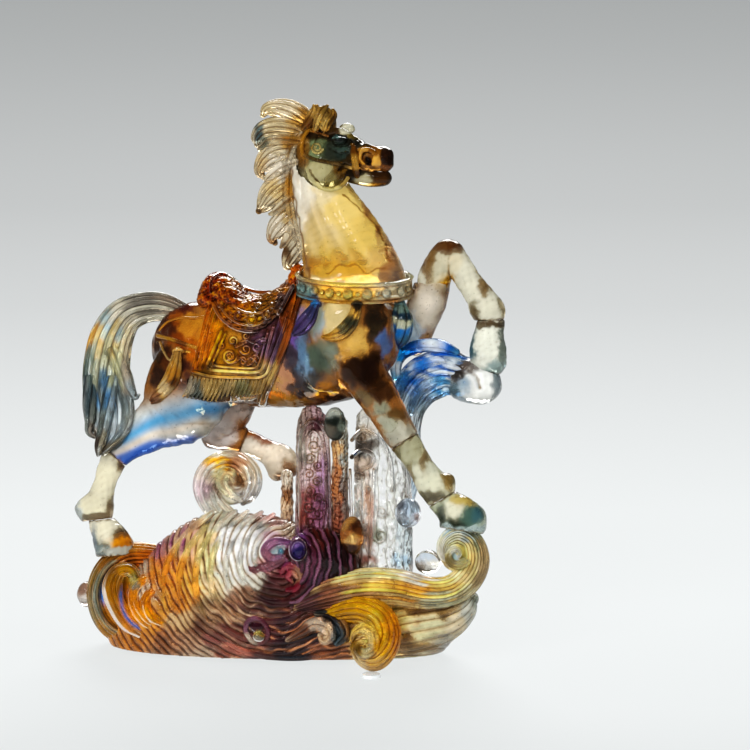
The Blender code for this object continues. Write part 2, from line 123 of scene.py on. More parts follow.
def beside(P, paths):
    """Distance on the side drawing from each point to the nearest of some open paths."""
    best = np.full(len(P), 1e9)
    for path in paths:
        R = np.array([q[:2] for q in path], float)
        lo, hi = R.min(0) - 6, R.max(0) + 6
        near = np.flatnonzero((P[:, 0] > lo[0]) & (P[:, 0] < hi[0]) & (P[:, 1] > lo[1]) & (P[:, 1] < hi[1]))
        if not len(near):
            continue
        u, v = P[near, 0], P[near, 1]
        d = best[near]
        for a, b in zip(R[:-1], R[1:]):
            e = b - a
            t = np.clip(((u - a[0]) * e[0] + (v - a[1]) * e[1]) / max(e @ e, 1e-9), 0, 1)
            d = np.minimum(d, np.hypot(u - a[0] - t * e[0], v - a[1] - t * e[1]))
        best[near] = d
    return best


def cord_shade(V, Q, C, paths, r, colour=(44, 24, 8), w=0.9, soft=1.3, clear=0.5):
    """Painted shade along both sides of raised cords, on the faces that look towards the viewer."""
    d = beside(V, paths)
    face = normals(V, outward(V - V.mean(0), Q))[:, 2] < 0.25
    return mix(C, colour, clear, w * np.exp(-(np.maximum(d - r, 0) / soft) ** 2) * face * (0.75 + 0.25 * waves(V, 6, 3, 2)))


def mix(C, other, clear, w):
    """Blends colours towards another by weight w."""
    w = np.clip(w, 0, 1)[:, None]
    return C * (1 - w) + np.array([*lin(other), clear]) * w


# ---- shapes -------------------------------------------------------------------------------
def catmull(rows, steps):
    rows = np.asarray(rows, float)
    n = len(rows)
    out = []
    t = (np.arange(steps) / steps)[:, None]
    for i in range(n - 1):
        p0, p1, p2, p3 = rows[max(i - 1, 0)], rows[i], rows[i + 1], rows[min(i + 2, n - 1)]
        out.append(0.5 * (2 * p1 + (p2 - p0) * t + (2 * p0 - 5 * p1 + 4 * p2 - p3) * t * t
                          + (3 * p1 - p0 - 3 * p2 + p3) * t ** 3))
    out.append(rows[-1:])
    return np.vstack(out)


def unit(a):
    return a / np.maximum(np.linalg.norm(a, axis=-1, keepdims=True), 1e-9)


def smin(a, b, k):
    if k <= 0:
        return np.minimum(a, b)
    h = np.maximum(k - np.abs(a - b), 0) / k
    return np.minimum(a, b) - h * h * k * 0.25


class Field:
    """A block of glass held as distances on a grid, blended together and then skinned."""

    def __init__(self, lo, hi, h):
        self.lo, self.h = np.array(lo, float), h
        n = np.ceil((np.array(hi, float) - self.lo) / h).astype(int) + 1
        self.ax = [(self.lo[i] + h * np.arange(n[i])).astype(np.float32) for i in range(3)]
        self.F = np.full(n, 60.0, np.float32)

    def span(self, lo, hi):
        out = []
        for i in range(3):
            a = int(np.clip(math.floor((lo[i] - self.lo[i]) / self.h), 0, len(self.ax[i]) - 1))
            b = int(np.clip(math.ceil((hi[i] - self.lo[i]) / self.h) + 1, a + 1, len(self.ax[i])))
            out.append(slice(a, b))
        return tuple(out)

    def grid(self, sl, origin=(0, 0, 0)):
        return (self.ax[0][sl[0]][:, None, None] - np.float32(origin[0]),
                self.ax[1][sl[1]][None, :, None] - np.float32(origin[1]),
                self.ax[2][sl[2]][None, None, :] - np.float32(origin[2]))

    def blend(self, sl, T, k, carve):
        if carve:
            self.F[sl] = -smin(-self.F[sl], T, k)
        else:
            self.F[sl] = smin(self.F[sl], T, k)

    def chain(self, rows, steps=3, k=3.0, axis=ALONG, carve=False, pad=9.0):
        R = catmull(rows, steps)
        R[:, 3:5] = np.maximum(R[:, 3:5], 0.4)
        top = R[:, 3:5].max() + pad
        sl = self.span(R[:, :3].min(0) - top, R[:, :3].max(0) + top)
        T = np.full([s.stop - s.start for s in sl], 60.0, np.float32)
        for i in range(len(R) - 1):
            a, b = R[i, :3], R[i + 1, :3]
            L = np.linalg.norm(b - a)
            if L < 1e-6:
                continue
            t = (b - a) / L
            n1 = unit(np.cross(t, axis))
            n2 = np.cross(n1, t)
            r = max(R[i, 3:5].max(), R[i + 1, 3:5].max()) + pad
            sub = self.span(np.minimum(a, b) - r, np.maximum(a, b) + r)
            loc = tuple(slice(s.start - o.start, s.stop - o.start) for s, o in zip(sub, sl))
            X, Y, Z = self.grid(sub, a)
            w = X * t[0] + Y * t[1] + Z * t[2]
            s = np.clip(w / L, 0, 1)
            over = w - s * L
            ra = R[i, 3] + (R[i + 1, 3] - R[i, 3]) * s
            rb = R[i, 4] + (R[i + 1, 4] - R[i, 4]) * s
            m = np.minimum(ra, rb)
            A = (X * n1[0] + Y * n1[1] + Z * n1[2]) / ra
            B = (X * n2[0] + Y * n2[1] + Z * n2[2]) / rb
            f = (np.sqrt(A * A + B * B + (over / m) ** 2) - 1) * m
            T[loc] = np.minimum(T[loc], f)
        self.blend(sl, T, k, carve)
        return self

    def ball(self, c, r, k=2.0, carve=False, pad=8.0):
        r = np.array(r if hasattr(r, "__len__") else (r, r, r), float)
        sl = self.span(np.array(c) - r - pad, np.array(c) + r + pad)
        X, Y, Z = self.grid(sl, c)
        f = (np.sqrt((X / r[0]) ** 2 + (Y / r[1]) ** 2 + (Z / r[2]) ** 2) - 1) * r.min()
        self.blend(sl, f.astype(np.float32), k, carve)
        return self

    def plane(self, point, normal, k=0.0):
        """Keeps the side that the normal points away from."""
        n = unit(np.array(normal, float))
        X, Y, Z = self.grid((slice(None),) * 3, point)
        self.F = -smin(-self.F, -(X * n[0] + Y * n[1] + Z * n[2]), k)
        return self

    def near(self, u, v):
        """Depth of the nearest skin under each (u, v), or nan."""
        u, v = np.atleast_1d(u).astype(float), np.atleast_1d(v).astype(float)
        i = np.clip(np.round((u - self.lo[0]) / self.h).astype(int), 0, self.F.shape[0] - 1)
        j = np.clip(np.round((v - self.lo[1]) / self.h).astype(int), 0, self.F.shape[1] - 1)
        col = self.F[i, j, :]
        hit = col < 0
        k = hit.argmax(1)
        out = np.full(len(u), np.nan)
        ok = hit.any(1) & (k > 0)
        a, b = col[ok, k[ok] - 1], col[ok, k[ok]]
        out[ok] = self.lo[2] + self.h * (k[ok] - 1 + a / (a - b))
        return out

    def skin(self, smooth=2):
        F = self.F.copy()
        for i in range(3):
            F[(slice(None),) * i + (0,)] = np.maximum(F[(slice(None),) * i + (0,)], 1.0)
            F[(slice(None),) * i + (-1,)] = np.maximum(F[(slice(None),) * i + (-1,)], 1.0)
        S = F < 0
        n = np.array(F.shape) - 1
        tot = np.zeros(n, np.int8)
        corners = [(i, j, k) for i in (0, 1) for j in (0, 1) for k in (0, 1)]
        for c in corners:
            tot += S[tuple(slice(c[i], c[i] + n[i]) for i in range(3))]
        mixed = (tot > 0) & (tot < 8)
        idx = np.full(n, -1, np.int64)
        cells = np.argwhere(mixed)
        idx[mixed] = np.arange(len(cells))
        acc, cnt = np.zeros((len(cells), 3)), np.zeros(len(cells))
        for axis in range(3):
            for c in corners:
                if c[axis]:
                    continue
                e = list(c)
                e[axis] = 1
                fa = F[cells[:, 0] + c[0], cells[:, 1] + c[1], cells[:, 2] + c[2]].astype(float)
                fb = F[cells[:, 0] + e[0], cells[:, 1] + e[1], cells[:, 2] + e[2]].astype(float)
                cross = (fa < 0) != (fb < 0)
                p = np.tile(np.array(c, float), (len(cells), 1))
                p[:, axis] += np.where(cross, fa / np.where(cross, fa - fb, 1), 0)
                acc[cross] += p[cross]
                cnt[cross] += 1
        V = (cells + acc / cnt[:, None]) * self.h + self.lo
        quads = []
        for axis in range(3):
            b, c = (axis + 1) % 3, (axis + 2) % 3
            lo = [slice(None)] * 3
            hi = [slice(None)] * 3
            lo[axis], hi[axis] = slice(0, -1), slice(1, None)
            cut = S[tuple(lo)] != S[tuple(hi)]
            e = np.argwhere(cut)
            e = e[(e[:, b] > 0) & (e[:, c] > 0)]
            e = e[(e[:, b] < F.shape[b] - 1) & (e[:, c] < F.shape[c] - 1)]
            inside = S[e[:, 0], e[:, 1], e[:, 2]]

            def cell(db, dc):
                q = e.copy()
                q[:, b] -= db
                q[:, c] -= dc
                return idx[q[:, 0], q[:, 1], q[:, 2]]
            q = np.stack([cell(1, 1), cell(0, 1), cell(0, 0), cell(1, 0)], 1)
            q[~inside] = q[~inside][:, ::-1]
            quads.append(q)
        Q = np.vstack(quads)
        V = relax(V, Q, smooth)
        return largest(V, Q)


def relax(V, Q, times, amount=0.5):
    E = np.vstack([Q[:, [0, 1]], Q[:, [1, 2]], Q[:, [2, 3]], Q[:, [3, 0]]])
    E = np.vstack([E, E[:, ::-1]])
    deg = np.bincount(E[:, 0], minlength=len(V)).astype(float)
    for step in range(times):
        A = np.stack([np.bincount(E[:, 0], V[E[:, 1], i], len(V)) for i in range(3)], 1) / deg[:, None]
        V = V + (A - V) * amount
    return V


def largest(V, Q):
    """The biggest connected body only."""
    lab = np.arange(len(V))
    E = np.vstack([Q[:, [0, 1]], Q[:, [1, 2]], Q[:, [2, 3]], Q[:, [3, 0]]])
    for _ in range(400):
        m = np.minimum(lab[E[:, 0]], lab[E[:, 1]])
        new = lab.copy()
        np.minimum.at(new, E[:, 0], m)
        np.minimum.at(new, E[:, 1], m)
        new = new[new]
        if (new == lab).all():
            break
        lab = new
    count = np.bincount(lab)
    keep = lab == count.argmax()
    if keep.all():
        return V, Q
    to = np.cumsum(keep) - 1
    return V[keep], to[Q[keep[Q[:, 0]]]]


def normals(V, Q):
    n = np.cross(V[Q[:, 2]] - V[Q[:, 0]], V[Q[:, 3]] - V[Q[:, 1]])
    N = np.zeros_like(V)
    for i in range(4):
        for j in range(3):
            N[:, j] += np.bincount(Q[:, i], n[:, j], len(V))
    return unit(N)


def outward(V, Q):
    a, b, c, d = (V[Q[:, i]] for i in range(4))
    vol = (np.einsum("ij,ij->i", a, np.cross(b, c)) + np.einsum("ij,ij->i", a, np.cross(c, d))).sum()
    return Q if vol > 0 else Q[:, ::-1]


def tube(rows, steps=6, ring=40, axis=ALONG, caps=(1.0, 1.0), shape=None):
    """A closed tube.  Returns V, Q and each vertex's (arc length, angle).
    shape(s, theta, row) gives a radius factor."""
    R = catmull(rows, steps)
    P, rad = R[:, :3], np.maximum(R[:, 3:5], 0.15)
    T = unit(np.gradient(P, axis=0))
    N1 = unit(np.cross(T, axis))
    for i in range(1, len(N1)):
        if N1[i] @ N1[i - 1] < 0:
            N1[i] *= -1
    N2 = np.cross(N1, T)
    seq = [(P[i], rad[i, 0], rad[i, 1], T[i], N1[i], N2[i]) for i in range(len(P))]
    fi = np.linspace(0, 1, 7)[1:]
    m0, m1 = rad[0].min() * caps[0], rad[-1].min() * caps[1]
    head = [(P[0] - T[0] * m0 * math.sin(f * 1.5), rad[0, 0] * math.cos(f * 1.5), rad[0, 1] * math.cos(f * 1.5),
             T[0], N1[0], N2[0]) for f in fi][::-1]
    tail = [(P[-1] + T[-1] * m1 * math.sin(f * 1.5), rad[-1, 0] * math.cos(f * 1.5), rad[-1, 1] * math.cos(f * 1.5),
             T[-1], N1[-1], N2[-1]) for f in fi]
    seq = head + seq + tail
    C = np.array([q[0] for q in seq])
    s = np.concatenate([[0], np.cumsum(np.linalg.norm(np.diff(C, axis=0), axis=1))])
    th = np.linspace(0, 2 * math.pi, ring, endpoint=False)
    A = np.array([q[1] for q in seq])[:, None]
    B = np.array([q[2] for q in seq])[:, None]
    M1 = np.array([q[4] for q in seq])
    M2 = np.array([q[5] for q in seq])
    SS, TH = np.meshgrid(s, th, indexing="ij")
    g = np.ones_like(SS) if shape is None else shape(SS, TH)
    V = (C[:, None, :] + M1[:, None, :] * (A * np.cos(th) * g)[:, :, None]
         + M2[:, None, :] * (B * np.sin(th) * g)[:, :, None])
    n = len(seq)
    i = np.arange(n - 1)[:, None] * ring
    j = np.arange(ring)[None, :]
    jn = (j + 1) % ring
    Q = np.stack([i + j, i + jn, i + ring + jn, i + ring + j], -1).reshape(-1, 4)
    V = V.reshape(-1, 3)
    # each end closes on its middle
    c0, c1 = len(V), len(V) + 1
    V = np.vstack([V, V[:ring].mean(0), V[(n - 1) * ring:n * ring].mean(0)])
    j = np.arange(0, ring, 2)
    Q = np.vstack([Q, np.stack([j + 0, np.full_like(j, c0), (j + 2) % ring, j + 1], 1),
                   np.stack([(n - 1) * ring + j, (n - 1) * ring + j + 1, (n - 1) * ring + (j + 2) % ring,
                             np.full_like(j, c1)], 1)])
    ST_ = np.stack([np.append(SS.ravel(), [0, s[-1]]), np.append(TH.ravel(), [0, 0])], 1)
    return V, Q, ST_


LAST = {}


def strands(rows, grooves=8, depth=0.17, twist=0.02, steps=6, ring=64, axis=ALONG, seed=0, caps=(1.0, 1.0), wob=1.0):
    """A lock of flowing strands: rounded ridges with sharp valleys that run along the path.
    Returns V, Q and how deep in a valley each vertex lies, 0 to 1."""
    rng = np.random.RandomState(seed)
    a, b, c, e = rng.uniform(0, 6.28, 4)
    hold = {}

    def shape(s, th):
        phi = (grooves * th + wob * (0.9 * np.sin(2 * th + a) + 0.6 * np.sin(3 * th + b))
               + twist * s * grooves * 0.3 + 0.5 * np.sin(s * 0.06 + c))
        ridge = np.abs(np.sin(phi / 2)) ** 0.75
        valley = 1 - ridge
        fine = 0.5 + 0.5 * np.cos(phi * 3 + e)
        hold["v"] = np.clip(valley + 0.25 * fine * ridge, 0, 1)
        hold["k"] = np.floor(phi / (2 * math.pi))
        return 1 - depth * (1 + 0.35 * np.sin(2.3 * th + c)) * valley - depth * 0.12 * fine
    V, Q, _ = tube(rows, steps, ring, axis, caps, shape)
    LAST["k"] = np.append(hold["k"].ravel(), [0, 0])
    return V, Q, np.append(hold["v"].ravel(), [0.5, 0.5])


def astray(V, reach):
    """Lets each strand of the newest lock carry its own share of the colours, and its own strength."""
    k = LAST["k"]
    P = V.copy()
    P[:, 0] += 0.6 * reach * np.sin(k * 5.3 + 1)
    P[:, 1] += reach * np.sin(k * 3.7)
    return P, (1 + 0.05 * min(reach, 6) * np.sin(k * 7.9 + 0.5))[:, None]


# ---- glass --------------------------------------------------------------------------------
def glass(name, rough=0.04, ior=1.5, bump=0.25, cell=0.004, fleck=0.3, fleck_size=0.0009, coat=0.0, gloss=0.35):
    """Cast glass whose colour and clearness are held in the piece's tint attribute, mottled by
    fine seeds and veins and softened by a fire-polished ripple."""
    m = bpy.data.materials.new(name)
    m.use_nodes = True
    nt = m.node_tree
    N, L = nt.nodes, nt.links
    p = N["Principled BSDF"]
    tint = N.new("ShaderNodeAttribute")
    tint.attribute_name = "tint"
    pos = N.new("ShaderNodeTexCoord")
    vein_and_groove_shade = N.new("ShaderNodeTexNoise")
    vein_and_groove_shade.inputs["Scale"].default_value = 1 / cell / 2
    vein_and_groove_shade.inputs["Detail"].default_value = 3
    L.new(pos.outputs["Object"], vein_and_groove_shade.inputs["Vector"])
    ramp = N.new("ShaderNodeMapRange")
    ramp.inputs["From Min"].default_value = 0.35
    ramp.inputs["From Max"].default_value = 0.7
    ramp.inputs["To Min"].default_value = 1.0 - fleck * 0.5
    ramp.inputs["To Max"].default_value = 1.0 + fleck * 0.25
    L.new(vein_and_groove_shade.outputs["Fac"], ramp.inputs["Value"])
    seed = N.new("ShaderNodeTexNoise")
    seed.inputs["Scale"].default_value = 1 / fleck_size
    seed.inputs["Detail"].default_value = 2
    L.new(pos.outputs["Object"], seed.inputs["Vector"])
    spots = N.new("ShaderNodeMapRange")
    spots.inputs["From Min"].default_value = 0.66
    spots.inputs["From Max"].default_value = 0.74
    spots.inputs["To Min"].default_value = 1.0
    spots.inputs["To Max"].default_value = 1.0 - fleck
    L.new(seed.outputs["Fac"], spots.inputs["Value"])
    both = N.new("ShaderNodeMath")
    both.operation = "MULTIPLY"
    L.new(ramp.outputs[0], both.inputs[0])
    L.new(spots.outputs[0], both.inputs[1])
    scaled = N.new("ShaderNodeVectorMath")
    scaled.operation = "SCALE"
    L.new(tint.outputs["Color"], scaled.inputs[0])
    L.new(both.outputs[0], scaled.inputs["Scale"])
    L.new(scaled.outputs[0], p.inputs["Base Color"])
    L.new(tint.outputs["Alpha"], p.inputs["Transmission Weight"])
    p.inputs["Roughness"].default_value = rough
    p.inputs["IOR"].default_value = ior
    p.inputs["Metallic"].default_value = 0.0
    p.inputs["Specular IOR Level"].default_value = gloss
    if coat:
        p.inputs["Coat Weight"].default_value = coat
        p.inputs["Coat Roughness"].default_value = 0.03
    if bump:
        b = N.new("ShaderNodeBump")
        b.inputs["Strength"].default_value = bump
        b.inputs["Distance"].default_value = 0.0006
        L.new(vein_and_groove_shade.outputs["Fac"], b.inputs["Height"])
        L.new(b.outputs["Normal"], p.inputs["Normal"])
    return m


MATS = {
    "smooth": glass("polished_glass", 0.03, 1.50, 0.20, 0.006, 0.30),
    "body": glass("body_glass", 0.04, 1.50, 0.25, 0.004, 0.60),
    "hair": glass("hair_glass", 0.04, 1.48, 0.12, 0.003, 0.55),
    "wave": glass("wave_glass", 0.05, 1.50, 0.20, 0.0025, 0.75),
    "relief": glass("relief_glass", 0.05, 1.50, 0.40, 0.0016, 0.75),
    "clear": glass("clear_glass", 0.02, 1.50, 0.25, 0.005, 0.15),
}


def hollows(V, Q):
    """How sharply the surface is hollowed at each vertex, in 1/units, negative on ridges."""
    E = np.vstack([Q[:, [0, 1]], Q[:, [1, 2]], Q[:, [2, 3]], Q[:, [3, 0]]])
    E = np.vstack([E, E[:, ::-1]])
    deg = np.maximum(np.bincount(E[:, 0], minlength=len(V)), 1).astype(float)
    A = np.stack([np.bincount(E[:, 0], V[E[:, 1], i], len(V)) for i in range(3)], 1) / deg[:, None]
    L = np.bincount(E[:, 0], np.linalg.norm(V[E[:, 1]] - V[E[:, 0]], axis=1), len(V)) / deg
    c = ((A - V) * normals(V, Q)).sum(1) * 4 / np.maximum(L, 0.3) ** 2
    for _ in range(2):
        c = 0.5 * c + 0.5 * np.bincount(E[:, 0], c[E[:, 1]], len(V)) / deg
    return c


# how strongly painted shade darkens the hollows of each glass
HOLLOW_SHADE = {"smooth": 1.2, "body": 1.2, "hair": 1.6, "wave": 1.6, "relief": 2.2, "clear": 0.9}
# how strongly each casting's own colours are poured: red, green and blue gain, then richness
POUR = {
    "sea_mound": (1.66, 1.54, 1.42, 0.98), "sea_strands": (1.66, 1.54, 1.42, 0.98),
    "right_stream_curl": (1.95, 1.82, 1.84, 1.0),
    "front_curl_glass": (1.24, 1.14, 0.96, 1.14), "rear_curl_glass": (1.55, 1.46, 1.36, 1.1),
    "left_curl_glass": (1.15, 1.10, 0.95, 1.25), "left_inner_curls": (1.15, 1.10, 0.95, 1.25),
    "right_lobe_glass": (1.22, 1.17, 1.06, 1.14), "breast_collar_glass": (1.38, 1.26, 1.02, 1.12),
    "saddle_blanket_glass": (1.16, 1.0, 0.82, 1.12), "saddle_seat_glass": (1.10, 0.98, 0.74, 1.28),
    "saddle_skirt_glass": (1.20, 1.08, 0.78, 1.2), "neck_glass": (0.97, 0.91, 0.90, 1.11),
    "horse_body": (1.01, 0.94, 0.98, 1.10), "splash_wave_glass": (1.0, 1.02, 1.05, 1.5), "head_glass": (0.94, 0.88, 0.80, 1.08), "lower_jaw_glass": (0.62, 0.62, 0.54, 1.15),
    "noseband_glass": (0.66, 0.64, 0.56, 1.15), "fringe_glass": (0.98, 0.86, 0.74, 1.08),
    "far_fore_cannon_glass": (0.72, 0.68, 0.56, 1.2), "far_fore_hoof_glass": (0.85, 0.83, 0.72, 1.1),
    "near_fore_cannon_glass": (0.94, 0.92, 0.84, 1.1), "near_fore_hoof_glass": (0.92, 0.92, 0.86, 1.1),
    "near_hind_cannon_glass": (0.90, 0.87, 0.80, 1.15), "near_hind_hoof_glass": (0.90, 0.87, 0.80, 1.15),
    "far_hind_cannon_glass": (0.90, 0.84, 0.76, 1.2),
    "tail_glass": (1.34, 1.32, 1.30, 1.0), "tail_lock_1": (1.3, 1.3, 1.25, 1.0), "tail_lock_2": (1.3, 1.3, 1.25, 1.0),
    "tail_lock_3": (1.3, 1.3, 1.25, 1.0), "tail_lock_4": (1.3, 1.3, 1.25, 1.0),
    "left_pillar_glass": (1.55, 1.45, 1.35, 1.05), "middle_rib_glass": (1.34, 1.28, 1.2, 1.05),
    "right_pillar_glass": (1.45, 1.47, 1.42, 0.9), "side_rib_glass": (1.3, 1.25, 1.2, 1.05),
}


def pour(C, name):
    """Enriches the colours of one casting."""
    r, g, b, rich = POUR.get(name, (1.02, 1.0, 0.97, 1.08))
    C[:, :3] *= (r, g, b)
    grey = (C[:, :3] @ np.array([0.3, 0.6, 0.1]))[:, None]
    C[:, :3] = np.clip(grey + (C[:, :3] - grey) * rich, 0.004, 0.97)
    return C


def piece(name, V, Q, tint, mat, nodes=()):
    """Turns drawing points and quads into a named piece that rides with the casting.  Painted shade darkens the hollows
    of the relief and a painted highlight lightens its ridges."""
    W = to_world(V)
    W[:, 2] = np.maximum(W[:, 2], 0.0003)       # nothing sinks into the table
    Q = outward(W - W.mean(0), Q)
    c = hollows(V, outward(V - V.mean(0), Q)) * HOLLOW_SHADE[mat]
    C = pour(np.clip(tint, 0, 1), name)
    # painted shade: the colour is darkened in the hollows of the relief
    deep = 1 - np.exp(-np.clip(c - 0.04, 0, 3) * 2.6)
    C[:, :3] = C[:, :3] * (1 - deep[:, None] * np.array([0.74, 0.84, 0.92]))
    # painted highlight: the colour is lightened on the ridges of the relief
    C[:, :3] = np.clip(C[:, :3] * (1 + 0.42 * np.clip(-c, 0, 1))[:, None], 0, 0.97)
    light = np.sqrt(np.clip(C[:, :3] @ np.array([0.3, 0.6, 0.1]), 0, 1))
    C[:, :3] = C[:, :3] ** (1 - 0.42 * C[:, 3] * light)[:, None]
    me = bpy.data.meshes.new(name)
    me.vertices.add(len(W))
    me.vertices.foreach_set("co", W.astype(np.float32).ravel())
    me.loops.add(Q.size)
    me.loops.foreach_set("vertex_index", np.ascontiguousarray(Q).astype(np.int32).ravel())
    me.polygons.add(len(Q))
    me.polygons.foreach_set("loop_start", np.arange(0, Q.size, 4, dtype=np.int32))
    me.update(calc_edges=True)
    me.validate()
    me.shade_smooth()
    at = me.color_attributes.new("tint", "FLOAT_COLOR", "POINT")
    at.data.foreach_set("color", C.astype(np.float32).ravel())
    me.materials.append(MATS[mat])
    ob = bpy.data.objects.new(name, me)
    bpy.context.scene.collection.objects.link(ob)
    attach(ob, "root")
    if nodes:
        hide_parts(*nodes)
    return ob


# ---- the horse ----------------------------------------------------------------------------
CREAM, MILK, GOLD, AMBER = (226, 222, 200), (232, 234, 230), (232, 196, 112), (208, 130, 30)
BROWN, DARK, PURPLE, PLUM = (104, 62, 26), (52, 34, 22), (104, 78, 130), (98, 40, 48)
SKY, BLUE, TEAL, OLIVE = (150, 190, 214), (60, 120, 190), (92, 122, 122), (92, 88, 58)
CLEAR = (236, 236, 232)

body = Field((84, 282, -118), (502, 522, 86), 1.3)
body.chain([(166, 343, 46, 16, 14), (176, 345, 41, 33, 24), (192, 347, 34, 46, 31), (215, 351, 24, 50, 35),
            (245, 355, 8, 50, 37), (280, 355, -10, 53, 39), (315, 348, -29, 59, 41), (345, 338, -44, 59, 42),
            (366, 332, -55, 46, 33)], k=3)
body.chain([(200, 345, 16, 34, 20), (192, 380, 10, 44, 25), (180, 407, 9, 40, 24), (158, 423, 10, 27, 18),
            (132, 440, 11, 19, 15), (117, 455, 12, 14.5, 13), (110, 468, 12, 12.5, 12)], k=7)
body.chain([(238, 375, 42, 26, 22), (233, 404, 48, 22, 18), (222, 424, 52, 20, 17), (214, 436, 53, 13.5, 12.5),
            (232, 437, 52, 14, 13), (248, 443, 51, 12.5, 12)], k=5)
body.chain([(348, 340, -66, 30, 22), (358, 364, -74, 25, 21), (374, 390, -78, 21, 19), (388, 413, -78, 18.5, 17),
            (400, 434, -77, 16.5, 15.5), (412, 453, -75, 14.2, 14)], k=6)
body.chain([(392, 322, -34, 20, 20), (413, 340, -22, 16, 16), (418, 325, -24, 18, 16), (427, 302, -28, 19.5, 17),
            (434, 280, -32, 17, 16), (441, 261, -35, 15, 15)], k=5)
# the breast, the elbow and the stifle
body.ball((352, 322, -80), (30, 26, 14), k=12)
body.ball((196, 392, -10), (26, 22, 12), k=10)
body.ball((322, 372, -68), (16, 20, 9), k=8)
JOINTS = {"near_hind": ((115, 457, 12), (-0.66, 0.75, 0.0)), "far_hind": ((244, 440, 52), (0.92, 0.38, 0.0)),
          "near_fore": ((405, 441, -76), (0.52, 0.85, 0.0)), "far_fore": ((437, 272, -34), (0.35, -0.94, 0.0))}


def keep(field, joint, reach, gap, sign):
    """Cuts a field at a joint's plane within reach of it."""
    p, n = np.array(JOINTS[joint][0], float), unit(np.array(JOINTS[joint][1], float)) * sign
    sl = field.span(p - reach, p + reach)
    X, Y, Z = field.grid(sl, p - n * gap)
    field.F[sl] = np.maximum(field.F[sl], (X * n[0] + Y * n[1] + Z * n[2]).astype(np.float32))


for joint, reach in (("near_hind", 24), ("far_hind", 18), ("near_fore", 30), ("far_fore", 26)):
    keep(body, joint, reach, 0.12, 1)
# the top of the body ends inside the collar
X, Y, Z = body.grid((slice(None),) * 3, (354, 297, -43))
inside = (X / 62) ** 2 + (Z / 50) ** 2 < 1
body.F = np.where(inside, np.maximum(body.F, -(Y + 0.2126 * Z + 7.0)), body.F).astype(np.float32)

BV, BQ = body.skin(3)
BN = normals(BV, BQ)
BV = BV + BN * (0.5 * waves(BV, 22, 3, 2))[:, None]


def thigh(P, C):
    """Broad sky-blue bands and a deep-blue lower edge that sweep over the milky thigh."""
    u, v = P[:, 0], P[:, 1]
    q = (v - 392) + 0.48 * (u - 215) - 0.0035 * (u - 150) ** 2 + 3 * waves(P, 40, 5, 1)
    zone = 1 / (1 + np.exp(-(v - 398 + 0.25 * (u - 170)) / 4)) * (u < 232) * (P[:, 2] < 30)
    C = mix(C, (206, 212, 196), 0.45, zone)
    band = np.exp(-(q / 11) ** 2)
    C = mix(C, (78, 150, 196), 0.5, 0.95 * band * zone)
    between = np.exp(-((q - 15 - 0.06 * (u - 150)) / 4.5) ** 2)
    C = mix(C, (226, 214, 186), 0.5, 0.85 * between * zone)
    edge = 1 / (1 + np.exp(-(q - 21 - 0.17 * (u - 150)) / 1.4))
    C = mix(C, (26, 84, 168), 0.2, 0.95 * edge * zone)
    return C


C = paint(BV, ((150, 104, 56), 0.6), [
    (164, 326, 11, 14, (66, 36, 24), 0.5), (180, 308, 12, 6, (84, 40, 30), 0.5), (190, 324, 11, 10, (200, 136, 60), 0.7), (176, 318, 7, 8, (130, 70, 26), 0.6),
    (160, 352, 8, 14, (54, 36, 24), 0.5), (160, 378, 9, 12, (60, 44, 34), 0.5), (178, 340, 9, 8, (112, 60, 24), 0.6), (170, 360, 8, 8, (96, 60, 34), 0.55),
    (196, 350, 9, 12, (170, 92, 22), 0.65), (184, 366, 8, 8, (70, 40, 30), 0.5), (188, 384, 9, 8, (84, 56, 44), 0.55),
    (206, 300, 14, 6, (96, 48, 30), 0.55), (212, 330, 10, 20, (190, 124, 50), 0.66),
    (275, 385, 9, 12, (216, 170, 90), 0.6), (285, 400, 26, 7, (176, 128, 60), 0.62), (245, 404, 26, 6, (96, 66, 30), 0.55),
    (296, 330, 9, 18, (112, 92, 160), 0.65), (290, 355, 9, 14, (60, 56, 66), 0.55), (300, 380, 9, 18, (62, 54, 56), 0.55),
    (282, 375, 8, 18, (206, 150, 110), 0.6),
    (316, 318, 8, 14, (140, 176, 196), 0.7), (336, 316, 15, 14, (244, 218, 146), 0.75), (352, 342, 14, 14, (232, 182, 100), 0.7), (344, 350, 8, 10, (214, 158, 80), 0.68),
    (374, 322, 10, 20, (36, 32, 24), 0.4), (384, 345, 5, 12, (70, 110, 170), 0.6), (322, 356, 17, 15, (84, 98, 84), 0.55), (306, 366, 6, 16, (130, 170, 196), 0.65),
    (302, 352, 6, 30, (96, 130, 160), 0.65), (312, 385, 10, 16, (70, 70, 66), 0.55), (324, 392, 9, 7, (196, 126, 40), 0.65),
    (350, 372, 10, 12, (44, 28, 14), 0.4), (368, 368, 15, 18, (34, 20, 10), 0.35), (380, 392, 12, 10, (60, 40, 22), 0.45), (366, 396, 8, 8, (110, 96, 66), 0.5), (380, 408, 8, 7, (140, 144, 120), 0.6), (396, 414, 8, 8, (90, 70, 40), 0.5), (390, 424, 10, 8, (170, 176, 150), 0.6),
    (400, 434, 12, 12, (176, 178, 156), 0.6),
    (408, 330, 12, 18, (196, 216, 220), 0.7), (428, 305, 14, 20, (214, 208, 184), 0.55), (438, 278, 12, 16, (206, 192, 156), 0.55),
    (240, 405, 14, 12, (222, 208, 190), 0.6), (216, 430, 16, 16, (228, 222, 210), 0.6), (120, 452, 14, 12, (222, 220, 202), 0.5),
    (340, 402, 22, 6, (70, 44, 26), 0.5), (445, 250, 10, 8, (130, 92, 50), 0.6)], warp=3.2, seed=11, sharp=3.6, seam=0.5)
C = thigh(BV, C)
